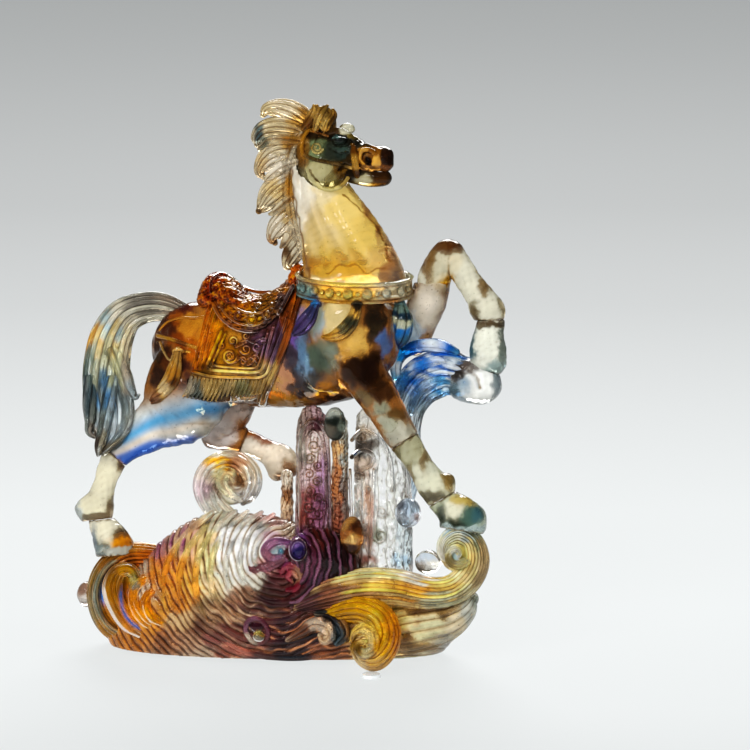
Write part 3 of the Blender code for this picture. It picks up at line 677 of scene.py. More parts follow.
for c, n in JOINTS.values():
    reach = np.linalg.norm(BV - np.array(c, float), axis=1)
    off = np.abs((BV - np.array(c, float)) @ unit(np.array(n, float))) + 0.9 * waves(BV, 8, 3, 2)
    C = mix(C, (84, 60, 40), 0.6, 0.85 * np.exp(-(np.maximum(off, 0) / 1.6) ** 2) * (reach < 24))
piece("horse_body", BV, BQ, C, "body",
      ("torso", "near_hind_gaskin", "far_hind_gaskin", "near_fore_arm", "far_fore_arm"))


def limb(name, rows, joint, lo, hi, spots, base, nodes, h=0.9, extra=None, end=None, start=None, k=2):
    f = Field(lo, hi, h)
    f.chain(rows, k=k)
    if extra:
        extra(f)
    if joint:
        keep(f, joint, 60, 0.12, -1)
    if end:
        f.plane(end[0], end[1])
    if start:
        f.plane(start[0], start[1])
    V, Q = f.skin(3)
    V = V + normals(V, Q) * (0.35 * waves(V, 14, 9, 2))[:, None]
    C = paint(V, base, spots, warp=2.5, seed=len(name))
    cuts = [(JOINTS[joint][0], JOINTS[joint][1])] if joint else []
    cuts += [end] if end else []
    cuts += [start] if start else []
    for c, n in cuts:
        off = np.abs((V - np.array(c, float)) @ unit(np.array(n, float))) + 0.9 * waves(V, 8, 3, 2)
        C = mix(C, (84, 60, 40), 0.6, 0.85 * np.exp(-(np.maximum(off, 0) / 1.6) ** 2))
    piece(name, V, Q, C, "smooth", nodes)
    return f


def fetlock_nh(f):
    f.ball((92, 509, 12), (17, 13, 14), k=6)
    f.ball((110, 470, 8), (8, 10, 7), k=5)


limb("near_hind_cannon_glass", [(132, 440, 11, 19, 15), (117, 455, 12, 14.5, 13), (110, 468, 12, 12.5, 12), (104, 486, 12, 11.5, 11.5),
     (101, 498, 12, 13.5, 12.5), (97, 508, 12, 16.5, 15), (98, 514, 11, 15.5, 14)], "near_hind", (68, 436, -14), (138, 528, 36),
     [(112, 455, 12, 8, (214, 210, 190), 0.6), (104, 480, 12, 20, (222, 218, 196), 0.45), (90, 505, 14, 10, (216, 212, 190), 0.45),
      (76, 512, 5, 12, (206, 226, 240), 0.85), (111, 508, 5, 10, (96, 78, 58), 0.6), (120, 462, 5, 8, (90, 66, 44), 0.6),
      (98, 518, 16, 3, (84, 70, 56), 0.6)],
     (CREAM, 0.5), ("near_hind_cannon",), extra=fetlock_nh, end=((100, 519.5, 11), (0.12, 1, 0)))
limb("near_hind_hoof_glass", [(101, 521, 11, 12.5, 12), (105, 529, 10, 14.5, 14), (111, 540, 8, 18, 17), (115, 549, 7, 20, 19),
     (116, 553, 7, 20, 19)], None, (82, 512, -18), (142, 564, 34),
     [(103, 530, 10, 9, (222, 218, 198), 0.5), (124, 541, 10, 6, (214, 134, 34), 0.6), (97, 548, 8, 10, (84, 98, 104), 0.6),
      (118, 534, 8, 5, (96, 78, 60), 0.6), (116, 551, 20, 4, (196, 202, 196), 0.6), (95, 538, 4, 12, (96, 112, 130), 0.6)],
     (CREAM, 0.55), ("near_hind_hoof",), end=((116, 556, 7), (0.05, 1, 0)),
     start=((100, 519.75, 11), (-0.12, -1, 0)))


def fetlock_fh(f):
    f.ball((281, 462, 46), (14, 16, 13), k=6)
    f.ball((276, 474, 46), (7, 7, 7), k=5)


limb("far_hind_cannon_glass", [(214, 437, 53, 13, 12), (232, 438, 52, 14, 13), (250, 444, 51, 12.5, 12), (266, 451, 49, 12, 11.5),
     (280, 460, 47, 15, 14), (290, 466, 46, 11, 11)], "far_hind", (196, 418, 30), (304, 488, 70),
     [(245, 432, 12, 6, (190, 112, 36), 0.6), (268, 438, 22, 5, (130, 84, 70), 0.6), (270, 455, 22, 10, (232, 224, 210), 0.5),
      (288, 470, 7, 10, (120, 90, 66), 0.6), (240, 446, 20, 8, (226, 222, 212), 0.5)],
     ((228, 220, 208), 0.5), ("far_hind_cannon",), extra=fetlock_fh)


def fetlock_nf(f):
    f.ball((440, 487, -70), (14, 12, 14), k=6)
    f.ball((449, 481, -70), (6, 7, 8), k=5)


limb("near_fore_cannon_glass", [(388, 413, -78, 18.5, 17), (400, 434, -77, 16.5, 15.5), (412, 453, -75, 14.2, 14), (421, 467, -73, 13.4, 13),
     (431, 483, -71, 15.5, 14.5), (439, 495, -70, 15, 14.5)], "near_fore", (384, 416, -104), (470, 514, -44),
     [(412, 452, 12, 14, (176, 174, 148), 0.6), (396, 448, 5, 9, (104, 96, 70), 0.55), (425, 462, 3.5, 16, (112, 84, 52), 0.6),
      (424, 478, 12, 16, (216, 216, 196), 0.5), (448, 482, 6, 7, (130, 108, 70), 0.6), (428, 496, 10, 5, (76, 68, 54), 0.6),
      (412, 478, 3, 18, (110, 92, 62), 0.6)],
     ((200, 200, 178), 0.55), ("near_fore_cannon",), extra=fetlock_nf, end=((440, 500, -69), (0.55, 1, 0)))
limb("near_fore_hoof_glass", [(441, 499, -69, 14.5, 14), (450, 507, -67, 16.5, 16), (458, 514, -66, 20, 19), (462, 520, -65, 23, 21),
     (463, 523, -65, 24, 22)], None, (424, 486, -94), (492, 540, -38),
     [(452, 512, 9, 8, (226, 222, 200), 0.5), (442, 514, 5, 8, (46, 54, 50), 0.5), (468, 516, 8, 8, (74, 98, 92), 0.6),
      (456, 523, 10, 5, (40, 46, 36), 0.55), (476, 515, 6, 6, (70, 104, 116), 0.6), (462, 502, 8, 6, (196, 168, 100), 0.6),
      (458, 529, 20, 3, (196, 216, 220), 0.7)],
     ((190, 196, 172), 0.6), ("near_fore_hoof",),
     extra=lambda f: f.ball((472, 515, -66), (12, 8, 12), k=5), start=((440.15, 500.25, -69), (-0.55, -1, 0)),
     end=((462, 531, -65), (-0.16, 1, 0)))


def knee_ff(f):
    f.ball((449, 254, -36), (13, 13, 12), k=7)
    f.ball((487, 311, -46), (16, 12, 14), k=6)


limb("far_fore_cannon_glass", [(434, 280, -32, 17, 16), (441, 261, -35, 15, 15), (449, 254, -36, 13.5, 13), (459, 266, -38, 13.5, 13),
     (468, 280, -41, 13, 13), (480, 297, -44, 14.5, 14), (488, 309, -46, 16, 15), (491, 317, -47, 13, 13)], None, (410, 232, -68), (514, 330, -14),
     [(446, 246, 14, 6, (92, 58, 34), 0.6), (432, 262, 6, 14, (120, 90, 60), 0.6), (450, 262, 9, 8, (232, 228, 214), 0.5),
      (447, 283, 7, 8, (206, 150, 60), 0.6), (470, 285, 10, 14, MILK, 0.45), (484, 280, 5, 12, (120, 96, 70), 0.6),
      (488, 308, 12, 9, MILK, 0.45), (503, 305, 4, 10, (120, 110, 90), 0.6), (474, 312, 4, 10, (96, 80, 60), 0.6),
      (440, 268, 8, 12, (232, 230, 216), 0.5)],
     (MILK, 0.5), ("far_fore_cannon",), extra=knee_ff, end=((490, 320, -47), (0.05, 1, 0)))
keep_rows = [(491, 323, -47, 14, 13), (489, 333, -48, 14.5, 14), (488, 343, -48, 17, 16), (488, 354, -48, 19, 18), (490, 362, -48, 17, 16)]
limb("far_fore_hoof_glass", keep_rows, None, (464, 314, -74), (516, 386, -22),
     [(488, 340, 10, 10, MILK, 0.45), (472, 350, 4, 14, (60, 92, 110), 0.6), (504, 345, 4, 14, (86, 96, 96), 0.6),
      (488, 325, 14, 3, (90, 76, 60), 0.6), (490, 368, 12, 6, (150, 170, 176), 0.6), (478, 362, 8, 8, (236, 238, 236), 0.5)],
     (MILK, 0.5), ("far_fore_hoof",), end=((490, 374, -48), (-0.1, 1, 0)),
     start=((490, 320.25, -47), (-0.05, -1, 0)))

# ---- neck and head ------------------------------------------------------------------------
head = Field((292, 94, -80), (398, 198, 8), 0.65)
head.chain([(306, 138, -12, 15, 12), (315, 149, -16, 26, 15), (326, 160, -23, 30, 16), (339, 158, -30, 25, 14.5),
            (352, 157, -36, 17.5, 13), (364, 159, -42, 14, 12.5), (376, 159.5, -48, 13.8, 13), (383, 160, -51, 12, 11.5)], k=2)
head.ball((326, 165, -37), (21, 24, 15), k=5)             # the near cheek
head.ball((323, 164, -16), (19, 24, 13), k=5)
head.chain([(342, 137, -30, 6, 7), (352, 142, -35, 7, 8), (362, 150, -40, 8, 9), (372, 155, -45, 8, 10)], k=4)
head.ball((384, 156, -51), (8, 9, 11), k=3)               # nose
head.ball((386, 165, -52), (7, 7, 10), k=3)               # upper lip
head.ball((347, 129, -22), (8, 6, 6), k=2)                # far eye
head.chain([(326, 135, -41, 3, 3), (336, 131, -46, 3.6, 3), (347, 134, -47, 3.4, 3), (356, 142, -46, 2.4, 2)], k=2)   # near brow
head.chain([(330, 147, -45, 2, 2), (340, 150, -47, 2.6, 2.4), (350, 148, -48, 2.2, 2)], k=2)
head.ball((340, 140, -47), (8.5, 5.5, 4.5), k=1, carve=True)
head.ball((340, 140.5, -42), (7, 4.6, 6), k=0.6)          # near eye
head.ball((367, 158, -57), (6.5, 6, 5), k=1.2, carve=True)  # nostril
head.chain([(360, 158, -54, 1.8, 1.8), (362, 151, -56, 2.2, 2.0), (369, 150, -58, 2.4, 2.2), (375, 155, -60, 2.4, 2.2), (375, 162, -60, 2.2, 2.0), (369, 166, -58, 2, 1.8)], k=1.5)
head.chain([(352, 150, -46, 3, 4), (366, 146, -50, 3, 4)], k=4)
head.chain([(345, 166, -44, 2.4, 2.4), (333, 172, -44, 2.6, 2.4), (326, 184, -40, 2.6, 2.4)], k=4, carve=True)
head.chain([(307, 168, -42, 2, 2.2), (312, 180, -47, 2.4, 2.4), (325, 189, -49, 2.6, 2.4), (340, 187, -48, 2.4, 2.2), (348, 178, -46, 2, 2)], k=2)
head.chain([(356, 172.5, -50, 1.0, 30), (370, 173.5, -52, 1.0, 30), (384, 172.5, -56, 1.1, 30), (396, 171, -60, 1.2, 30)], k=1, carve=True)

neck = Field((282, 118, -98), (416, 306, 12), 1.0)
neck.chain([(357, 296, -43, 52, 40), (354, 282, -42, 51.5, 39), (349, 262, -37, 47, 33), (340, 237, -31, 41, 27), (329, 213, -26, 34.5, 23),
            (319, 190, -20, 29.5, 18), (312, 166, -16, 25, 15), (309, 152, -15, 20, 12)], k=2)
for rows in ([(312, 178, 0), (318, 205, 0), (330, 232, 0), (344, 256, 0)], [(326, 196, 0), (334, 215, 0), (347, 236, 0), (364, 258, 0)],
             [(299, 170, 0), (302, 200, 0), (311, 230, 0), (324, 262, 0)]):
    r = np.array(rows, float)
    d = neck.near(r[:, 0], r[:, 1])
    neck.chain([(u, v, dd - 3.0, 4.5, 4.5) for (u, v, _), dd in zip(rows, d)], k=7, carve=True)
X, Y, Z = neck.grid((slice(None),) * 3, (354, 296, -43))
neck.F = np.maximum(neck.F, Y + 0.2126 * Z + 6.3).astype(np.float32)
# the jaw stands clear of the neck
sl = neck.span(head.lo, [a[-1] for a in head.ax])
gx = np.clip(((neck.ax[0][sl[0]] - head.lo[0]) / head.h).round().astype(int), 0, head.F.shape[0] - 1)
gy = np.clip(((neck.ax[1][sl[1]] - head.lo[1]) / head.h).round().astype(int), 0, head.F.shape[1] - 1)
gz = np.clip(((neck.ax[2][sl[2]] - head.lo[2]) / head.h).round().astype(int), 0, head.F.shape[2] - 1)
neck.F[sl] = np.maximum(neck.F[sl], 0.7 - head.F[np.ix_(gx, gy, gz)])

V, Q = neck.skin(3)
C = paint(V, ((228, 214, 168), 0.6), [
    (300, 190, 12, 40, (226, 224, 204), 0.55), (312, 232, 10, 26, (206, 184, 130), 0.6), (330, 250, 14, 16, (212, 178, 100), 0.65),
    (345, 215, 16, 24, (240, 212, 130), 0.65), (365, 235, 14, 22, (238, 204, 116), 0.65), (340, 268, 30, 7, (222, 174, 84), 0.65),
    (375, 258, 10, 12, (232, 206, 136), 0.65), (325, 195, 10, 12, (236, 222, 170), 0.6), (333, 238, 10, 14, (226, 206, 152), 0.6),
    (388, 262, 7, 16, (150, 120, 96), 0.7), (368, 212, 5, 12, (150, 110, 80), 0.7), (396, 275, 6, 10, (120, 110, 110), 0.7),
    (378, 232, 4, 12, (130, 96, 76), 0.7), (310, 262, 9, 10, (176, 132, 66), 0.65), (318, 172, 10, 10, (196, 200, 172), 0.6)], warp=3, seed=2)
rim = np.exp(-((V[:, 0] - (291 + np.maximum(V[:, 1] - 180, 0) * 0.19) - 1.2 * waves(V, 18, 4, 1)) / 1.5) ** 2) * (V[:, 1] > 160)
C = mix(C, (110, 76, 44), 0.6, 0.8 * rim)
line = np.exp(-((V[:, 1] - 268 - 4 * np.sin(V[:, 0] * 0.14) - 2 * np.sin(V[:, 0] * 0.33)) / 1.0) ** 2) * (V[:, 0] > 326) * (V[:, 0] < 386)
C = mix(C, (120, 78, 36), 0.6, 0.75 * line)
edge = np.exp(-((V[:, 0] - (345 + (V[:, 1] - 196) * 0.66 + 11 * np.sin(math.pi * np.clip((V[:, 1] - 196) / 66, 0, 1)) + 1.2 * waves(V, 12, 6, 2))) / 1.5) ** 2) * (V[:, 1] > 194) * (V[:, 1] < 262)
C = mix(C, (96, 56, 20), 0.6, 0.9 * edge)
piece("neck_glass", V, Q, C, "smooth", ("neck",))

V, Q = head.skin(2)
muzzle = 1 / (1 + np.exp(-(V[:, 0] - 356) / 2.5))
V = V + normals(V, Q) * (0.6 * muzzle * waves(V, 12, 44, 1) + 0.3 * waves(V, 12, 9, 2))[:, None]
C = paint(V, ((58, 50, 34), 0.45), [
    (316, 130, 14, 10, (44, 30, 14), 0.4), (330, 128, 12, 7, (58, 42, 20), 0.45), (317, 148, 9, 9, (120, 136, 104), 0.6), (330, 152, 9, 8, (52, 58, 50), 0.4),
    # the teal spot at (343, 150) is a painted reflection
    (343, 150, 10, 7, (58, 74, 70), 0.45), (352, 146, 9, 6, (36, 34, 26), 0.35), (347, 128, 6, 5, (214, 214, 190), 0.7), (356, 136, 6, 4, (96, 84, 40), 0.5),
    # the small pale spot at (337, 137) is a painted glint on the eye
    (341, 140, 7, 4, (30, 34, 34), 0.3), (337, 137, 3, 2, (150, 190, 190), 0.6), (318, 174, 11, 11, (176, 172, 134), 0.6), (330, 180, 8, 8, (140, 130, 84), 0.58),
    (338, 172, 8, 7, (110, 84, 40), 0.5), (346, 180, 6, 6, (150, 130, 80), 0.55), (326, 189, 14, 3, (206, 196, 140), 0.6), (350, 160, 6, 8, (56, 44, 24), 0.4),
    # round the nostril, the darkest spots are painted shade in its hollow and the copper ones are painted highlights on
    # its rim
    (368, 158, 5, 5, (30, 18, 8), 0.35), (362, 151, 6, 3, (176, 130, 66), 0.6), (374, 152, 6, 4, (110, 72, 26), 0.5), (377, 160, 4, 6, (220, 166, 90), 0.55), (362, 158, 3, 5, (190, 140, 70), 0.5), (370, 154, 5, 2.5, (200, 150, 80), 0.5), (369, 162, 3.4, 3.6, (22, 12, 4), 0.3), (372, 168, 5, 2.5, (84, 52, 20), 0.45),
    (370, 168, 10, 3, (150, 112, 70), 0.55), (387, 158, 6, 9, (40, 24, 10), 0.4), (386, 168, 6, 4, (110, 70, 34), 0.5), (304, 146, 5, 16, (130, 96, 50), 0.55)], warp=1.6, seed=5, sharp=2.8, seam=0.5)
piece("head_glass", V, Q, C, "smooth", ("head",))

jaw = Field((338, 160, -72), (396, 198, -14), 0.6)
jaw.chain([(344, 172, -34, 9, 9), (355, 174, -40, 10, 9), (368, 177, -45, 10, 10), (379, 178, -49, 9, 9), (384, 178, -50, 8, 8.5)], k=1)
gx, gy, gz = [np.clip(((jaw.ax[i] - head.lo[i]) / head.h).round().astype(int), 0, head.F.shape[i] - 1) for i in range(3)]
jaw.F = np.maximum(jaw.F, 0.35 - head.F[np.ix_(gx, gy, gz)])
V, Q = jaw.skin(2)
C = paint(V, ((48, 34, 20), 0.45), [(364, 179, 7, 4, (206, 196, 170), 0.6), (356, 174, 6, 6, (44, 34, 20), 0.4), (380, 182, 6, 6, (84, 56, 28), 0.45),
                                    (372, 186, 8, 3, (150, 110, 60), 0.6), (378, 176, 8, 3, (60, 40, 22), 0.4)], warp=1.5, seed=8)
piece("lower_jaw_glass", V, Q, C, "smooth", ("lower_jaw",))

HAIR = [(264, 112, 10, 8, (206, 184, 140), 0.75), (282, 108, 12, 7, (226, 206, 168), 0.75), (300, 118, 8, 8, (166, 120, 56), 0.65),
        (292, 126, 8, 6, (190, 150, 90), 0.7), (257, 134, 4, 9, (70, 86, 88), 0.6), (262, 142, 5, 5, (110, 116, 104), 0.65), (280, 130, 12, 6, (200, 180, 140), 0.72),
        (290, 141, 8, 6, (176, 130, 66), 0.68), (270, 150, 10, 7, (214, 196, 160), 0.75), (262, 164, 6, 8, (206, 176, 130), 0.72), (278, 168, 10, 8, (226, 214, 190), 0.78),
        (290, 186, 5, 10, (166, 120, 56), 0.65), (276, 190, 9, 7, (206, 176, 124), 0.72), (266, 202, 8, 7, (214, 196, 160), 0.75), (260, 212, 6, 4, (96, 74, 46), 0.6),
        (288, 214, 6, 8, (196, 166, 116), 0.7), (276, 228, 9, 8, (220, 206, 180), 0.78), (270, 242, 8, 4, (130, 100, 70), 0.65), (290, 238, 6, 6, (206, 190, 160), 0.75),
        (286, 252, 5, 5, (96, 70, 44), 0.62), (298, 254, 7, 8, (214, 200, 172), 0.76), (288, 268, 6, 5, (196, 176, 140), 0.72)]


def lock(name, rows, nodes, spots=HAIR, base=((216, 200, 168), 0.75), grooves=8, depth=0.15, twist=0.03, seed=0, steps=8, ring=110,
         vein_and_groove_shade=(84, 54, 24), dark=0.85, mat="hair", caps=(1.0, 1.0), axis=ALONG, warp=2.0, stray=3.0):
    V, Q, g = strands(rows, grooves, depth, twist, steps, ring, axis, seed, caps)
    P, lit = astray(V, stray)
    C = paint(P, base, spots, warp=warp, seed=seed)
    C[:, :3] *= lit
    # painted shade in the valleys between the strands
    C = mix(C, vein_and_groove_shade, 0.6, dark * np.clip(g - 0.3, 0, 1) * 1.5)
    return piece(name, V, Q, C, mat, nodes)


lock("mane_crest_glass", [(303, 132, -14, 9, 8), (295, 150, -16, 9, 8), (290, 170, -17, 8, 8), (290, 195, -20, 8, 8), (295, 222, -24, 8, 8),
                          (303, 246, -28, 7, 7), (308, 262, -32, 5, 5)], ("mane_crest",), grooves=6, seed=3)
lock("mane_lock_1_glass", [(313, 124, -14, 7, 7), (303, 116, -12, 10, 9), (290, 110, -11, 11, 10), (277, 108, -9, 9.5, 9), (267, 110, -7, 7, 7),
                           (263, 115, -6, 3, 3)], ("mane_lock_1",), seed=11, grooves=11)
lock("mane_lock_2_glass", [(306, 134, -14, 8, 8), (293, 129, -12, 11, 9), (278, 128, -11, 12, 10), (265, 131, -10, 11, 9), (258, 138, -9, 8, 7),
                           (257, 145, -9, 3, 3)], ("mane_lock_2",), seed=12, grooves=13)
lock("mane_lock_3_glass", [(300, 149, -15, 9, 8), (287, 149, -13, 12, 9), (273, 154, -12, 13, 10), (264, 163, -11, 10, 9), (260, 172, -10, 6, 6),
                           (264, 178, -10, 2.5, 2.5)], ("mane_lock_3",), seed=13, grooves=14)
lock("mane_lock_4_glass", [(296, 176, -17, 9, 8), (283, 183, -16, 13, 9), (272, 194, -14, 14, 10), (264, 205, -13, 9, 8), (259, 211, -12, 3.5, 3.5)],
     ("mane_lock_4",), seed=14, grooves=14)
lock("mane_lock_5_glass", [(298, 208, -21, 9, 8), (287, 218, -20, 13, 9), (278, 229, -18, 12, 9), (273, 238, -17, 7, 7), (275, 243, -17, 3, 3)],
     ("mane_lock_5",), seed=15, grooves=13)
lock("mane_lock_6_glass", [(304, 232, -26, 9, 8), (298, 244, -25, 11, 9), (291, 257, -23, 10, 8.5), (288, 265, -22, 6, 6), (291, 268, -22, 2.5, 2.5)],
     ("mane_lock_6",), seed=16, grooves=11)
# smaller wisps fill between the locks
for i, rows in enumerate(([(300, 141, -20, 5, 5), (286, 140, -20, 6, 5), (270, 141, -17, 6, 5), (260, 149, -14, 3, 3)],
                          [(296, 162, -22, 5, 5), (283, 167, -21, 6, 5), (270, 177, -18, 5, 5), (266, 182, -16, 2, 2)],
                          [(296, 196, -24, 5, 5), (286, 203, -24, 6, 5), (276, 212, -22, 5, 4), (270, 214, -20, 2, 2)],
                          [(300, 222, -28, 5, 5), (292, 232, -27, 6, 5), (285, 243, -25, 5, 4), (281, 247, -24, 2, 2)])):
    lock(f"mane_wisp_{i + 1}", rows, (), seed=30 + i, grooves=4, ring=40)
TUFT = [(314, 112, 7, 6, (176, 140, 80), 0.65), (326, 112, 6, 6, (120, 96, 50), 0.55), (322, 120, 7, 6, (206, 170, 100), 0.68), (332, 122, 4, 6, (84, 64, 30), 0.5),
        (310, 122, 6, 6, (110, 76, 34), 0.55)]
for i, rows in enumerate(([(304, 128, -22, 4, 4), (310, 120, -25, 6, 5), (314, 112, -26, 6, 5), (314, 106, -25, 2, 2)],
                          [(316, 128, -28, 4, 4), (319, 119, -30, 6, 5), (323, 111, -29, 6, 5), (327, 106, -27, 2, 2)],
                          [(326, 129, -32, 4, 4), (329, 122, -32, 5.5, 5), (333, 115, -30, 4.5, 4), (333, 110, -28, 2, 2)])):
    lock(f"forelock_{i + 1}", rows, (), seed=118 + i, grooves=7, ring=56, spots=TUFT, base=((150, 110, 56), 0.6))
lock("ear_near_glass", [(330, 131, -27, 6, 5), (326, 122, -27, 11, 7), (321, 114, -26, 11, 6), (318, 109, -25, 6, 4), (317, 106, -25, 2, 2)],
     ("ear_near",), seed=17, grooves=9, depth=0.15,
     spots=TUFT, base=((150, 112, 60), 0.6))
lock("ear_far_glass", [(331, 130, -8, 6, 5), (328, 120, -7, 8, 5), (324, 112, -6, 4, 3)], ("ear_far",), seed=19, grooves=4, ring=48)

# ---- tail ---------------------------------------------------------------------------------
TAIL = [(170, 305, 14, 10, (120, 104, 88), 0.8), (145, 300, 16, 10, (110, 104, 94), 0.8), (122, 312, 12, 8, (196, 186, 160), 0.85),
        (108, 318, 8, 8, (158, 190, 196), 0.85), (150, 320, 14, 6, (196, 190, 164), 0.85),
        (94, 334, 9, 10, (222, 150, 50), 0.75), (112, 340, 12, 7, (206, 176, 110), 0.8), (124, 350, 7, 14, (196, 176, 140), 0.8),
        (92, 362, 8, 14, (96, 112, 104), 0.75), (110, 366, 10, 16, (196, 196, 156), 0.8), (124, 372, 6, 16, (186, 170, 150), 0.8),
        (92, 392, 9, 16, (66, 84, 92), 0.7), (106, 390, 7, 10, (96, 150, 200), 0.8), (116, 398, 8, 14, (120, 130, 130), 0.8),
        (128, 396, 8, 10, (176, 190, 196), 0.85), (98, 415, 10, 12, (130, 136, 130), 0.8), (112, 420, 10, 14, (190, 210, 222), 0.88),
        (126, 420, 8, 14, (206, 210, 200), 0.88), (96, 436, 8, 8, (96, 84, 76), 0.75), (110, 444, 10, 8, (150, 140, 116), 0.8)]
lock("tail_glass", [(186, 312, 42, 8, 8), (164, 307, 45, 14, 12), (143, 308, 44, 16, 13), (124, 317, 41, 19, 14), (112, 337, 37, 22, 15),
                    (107, 362, 31, 23.5, 15), (107, 388, 23, 24.5, 14), (111, 412, 12, 24, 12), (110, 434, 2, 19, 10), (103, 450, -4, 6, 6)],
     ("tail",), TAIL, ((196, 196, 180), 0.85), grooves=19, depth=0.12, twist=0.006, steps=12, ring=240, seed=21, vein_and_groove_shade=(40, 36, 34), dark=0.95, stray=12)
for i, rows in enumerate(([(112, 352, 24, 8, 6), (122, 372, 17, 9, 7), (128, 388, 10, 8, 6), (135, 397, 6, 4, 4), (139, 395, 5, 1.5, 1.5)],
                          [(90, 380, 20, 7, 6), (90, 405, 8, 8, 7), (90, 422, 1, 6, 6), (89, 432, -2, 4, 4), (94, 437, -3, 2, 2)],
                          [(112, 380, 8, 7, 5), (108, 405, 0, 8, 6), (104, 428, -8, 7, 6), (99, 446, -11, 5, 5), (98, 455, -11, 2, 2)],
                          [(124, 392, 12, 6, 5), (128, 412, 2, 7, 6), (124, 430, -6, 6, 5), (112, 444, -9, 4, 4), (104, 452, -9, 1.5, 1.5)])):
    lock(f"tail_lock_{i + 1}", rows, (), TAIL, ((196, 200, 196), 0.85), grooves=5, ring=56, steps=8, seed=40 + i, vein_and_groove_shade=(36, 34, 34), dark=0.95, stray=8)

# ---- the sea below the horse ---------------------------------------------------------------
def bundle(name, parts, mat, nodes):
    """Several closed shells that make up one cast piece."""
    Vs, Qs, Cs, n = [], [], [], 0
    for V, Q, C in parts:
        Vs.append(V)
        Qs.append(Q + n)
        Cs.append(C)
        n += len(V)
    piece(name, np.vstack(Vs), np.vstack(Qs), np.vstack(Cs), mat, nodes)


def wisp(rows, spots, base, grooves=6, depth=0.16, twist=0.02, seed=0, steps=7, ring=56, vein_and_groove_shade=(70, 44, 26), dark=0.6,
         caps=(1.0, 1.0), axis=ALONG, warp=2.0, stray=2.5):
    V, Q, g = strands(rows, grooves, depth, twist, steps, ring, axis, seed, caps)
    P, lit = astray(V, stray)
    C = paint(P, base, spots, warp=warp, seed=seed) * np.hstack([lit, lit, lit, np.ones_like(lit)])
    # painted shade in the valleys between the strands
    return V, Q, mix(C, vein_and_groove_shade, 0.6, dark * np.clip(g - 0.35, 0, 1) ** 1.2 * 1.5)


def comb(phase):
    """Rounded ridges with narrow valleys: height 0 to 1, valley 1 to 0."""
    r = np.abs(np.sin(phase / 2)) ** 0.6
    return r, 1 - r


mound = Field((92, 494, -78), (482, 662, 76), 1.15)
mound.chain([(122, 634, 20, 16, 14), (142, 633, 17, 48, 30), (165, 632, 14, 80, 42), (190, 631, 11, 106, 49),
             (215, 631, 8, 120, 53), (245, 631, 5, 120, 56), (285, 631, 3, 113, 58), (330, 631, 0, 88, 58),
             (375, 630, -4, 62, 52), (410, 626, -10, 42, 40), (436, 620, -14, 26, 26), (450, 616, -16, 14, 14)], k=2, axis=ACROSS)
mound.plane((300, 649.5, 0), (0, CT, ST))
MV, MQ = mound.skin(3)
MN = normals(MV, MQ)
u, v = MV[:, 0], MV[:, 1]
w1 = waves(MV, 46, 21, 2)
left = np.hypot(np.minimum(u - 282, 0) * 0.92, v - 552)
right = np.abs(v - 552 + 34 * (1 - np.exp(-np.maximum(u - 282, 0) / 52)))
blend = 1 / (1 + np.exp(-(u - 282) / 5))
D = left * (1 - blend) + right * blend + 1.8 * w1
rid, val = comb(D * 2 * math.pi / 5.6)
rid2, val2 = comb(D * 2 * math.pi / 2.6 + 1.3 * np.sin(u * 0.06))
under = 1 / (1 + np.exp((MN @ np.array([0, CT, ST]) - 0.6) * 14))
calm = np.clip((np.hypot(u - 279, v - 552) - 6) / 8, 0, 1) * under
MV2 = MV + MN * ((1.5 * rid - 1.1 + 0.4 * rid2 * (1 - val)) * calm)[:, None]
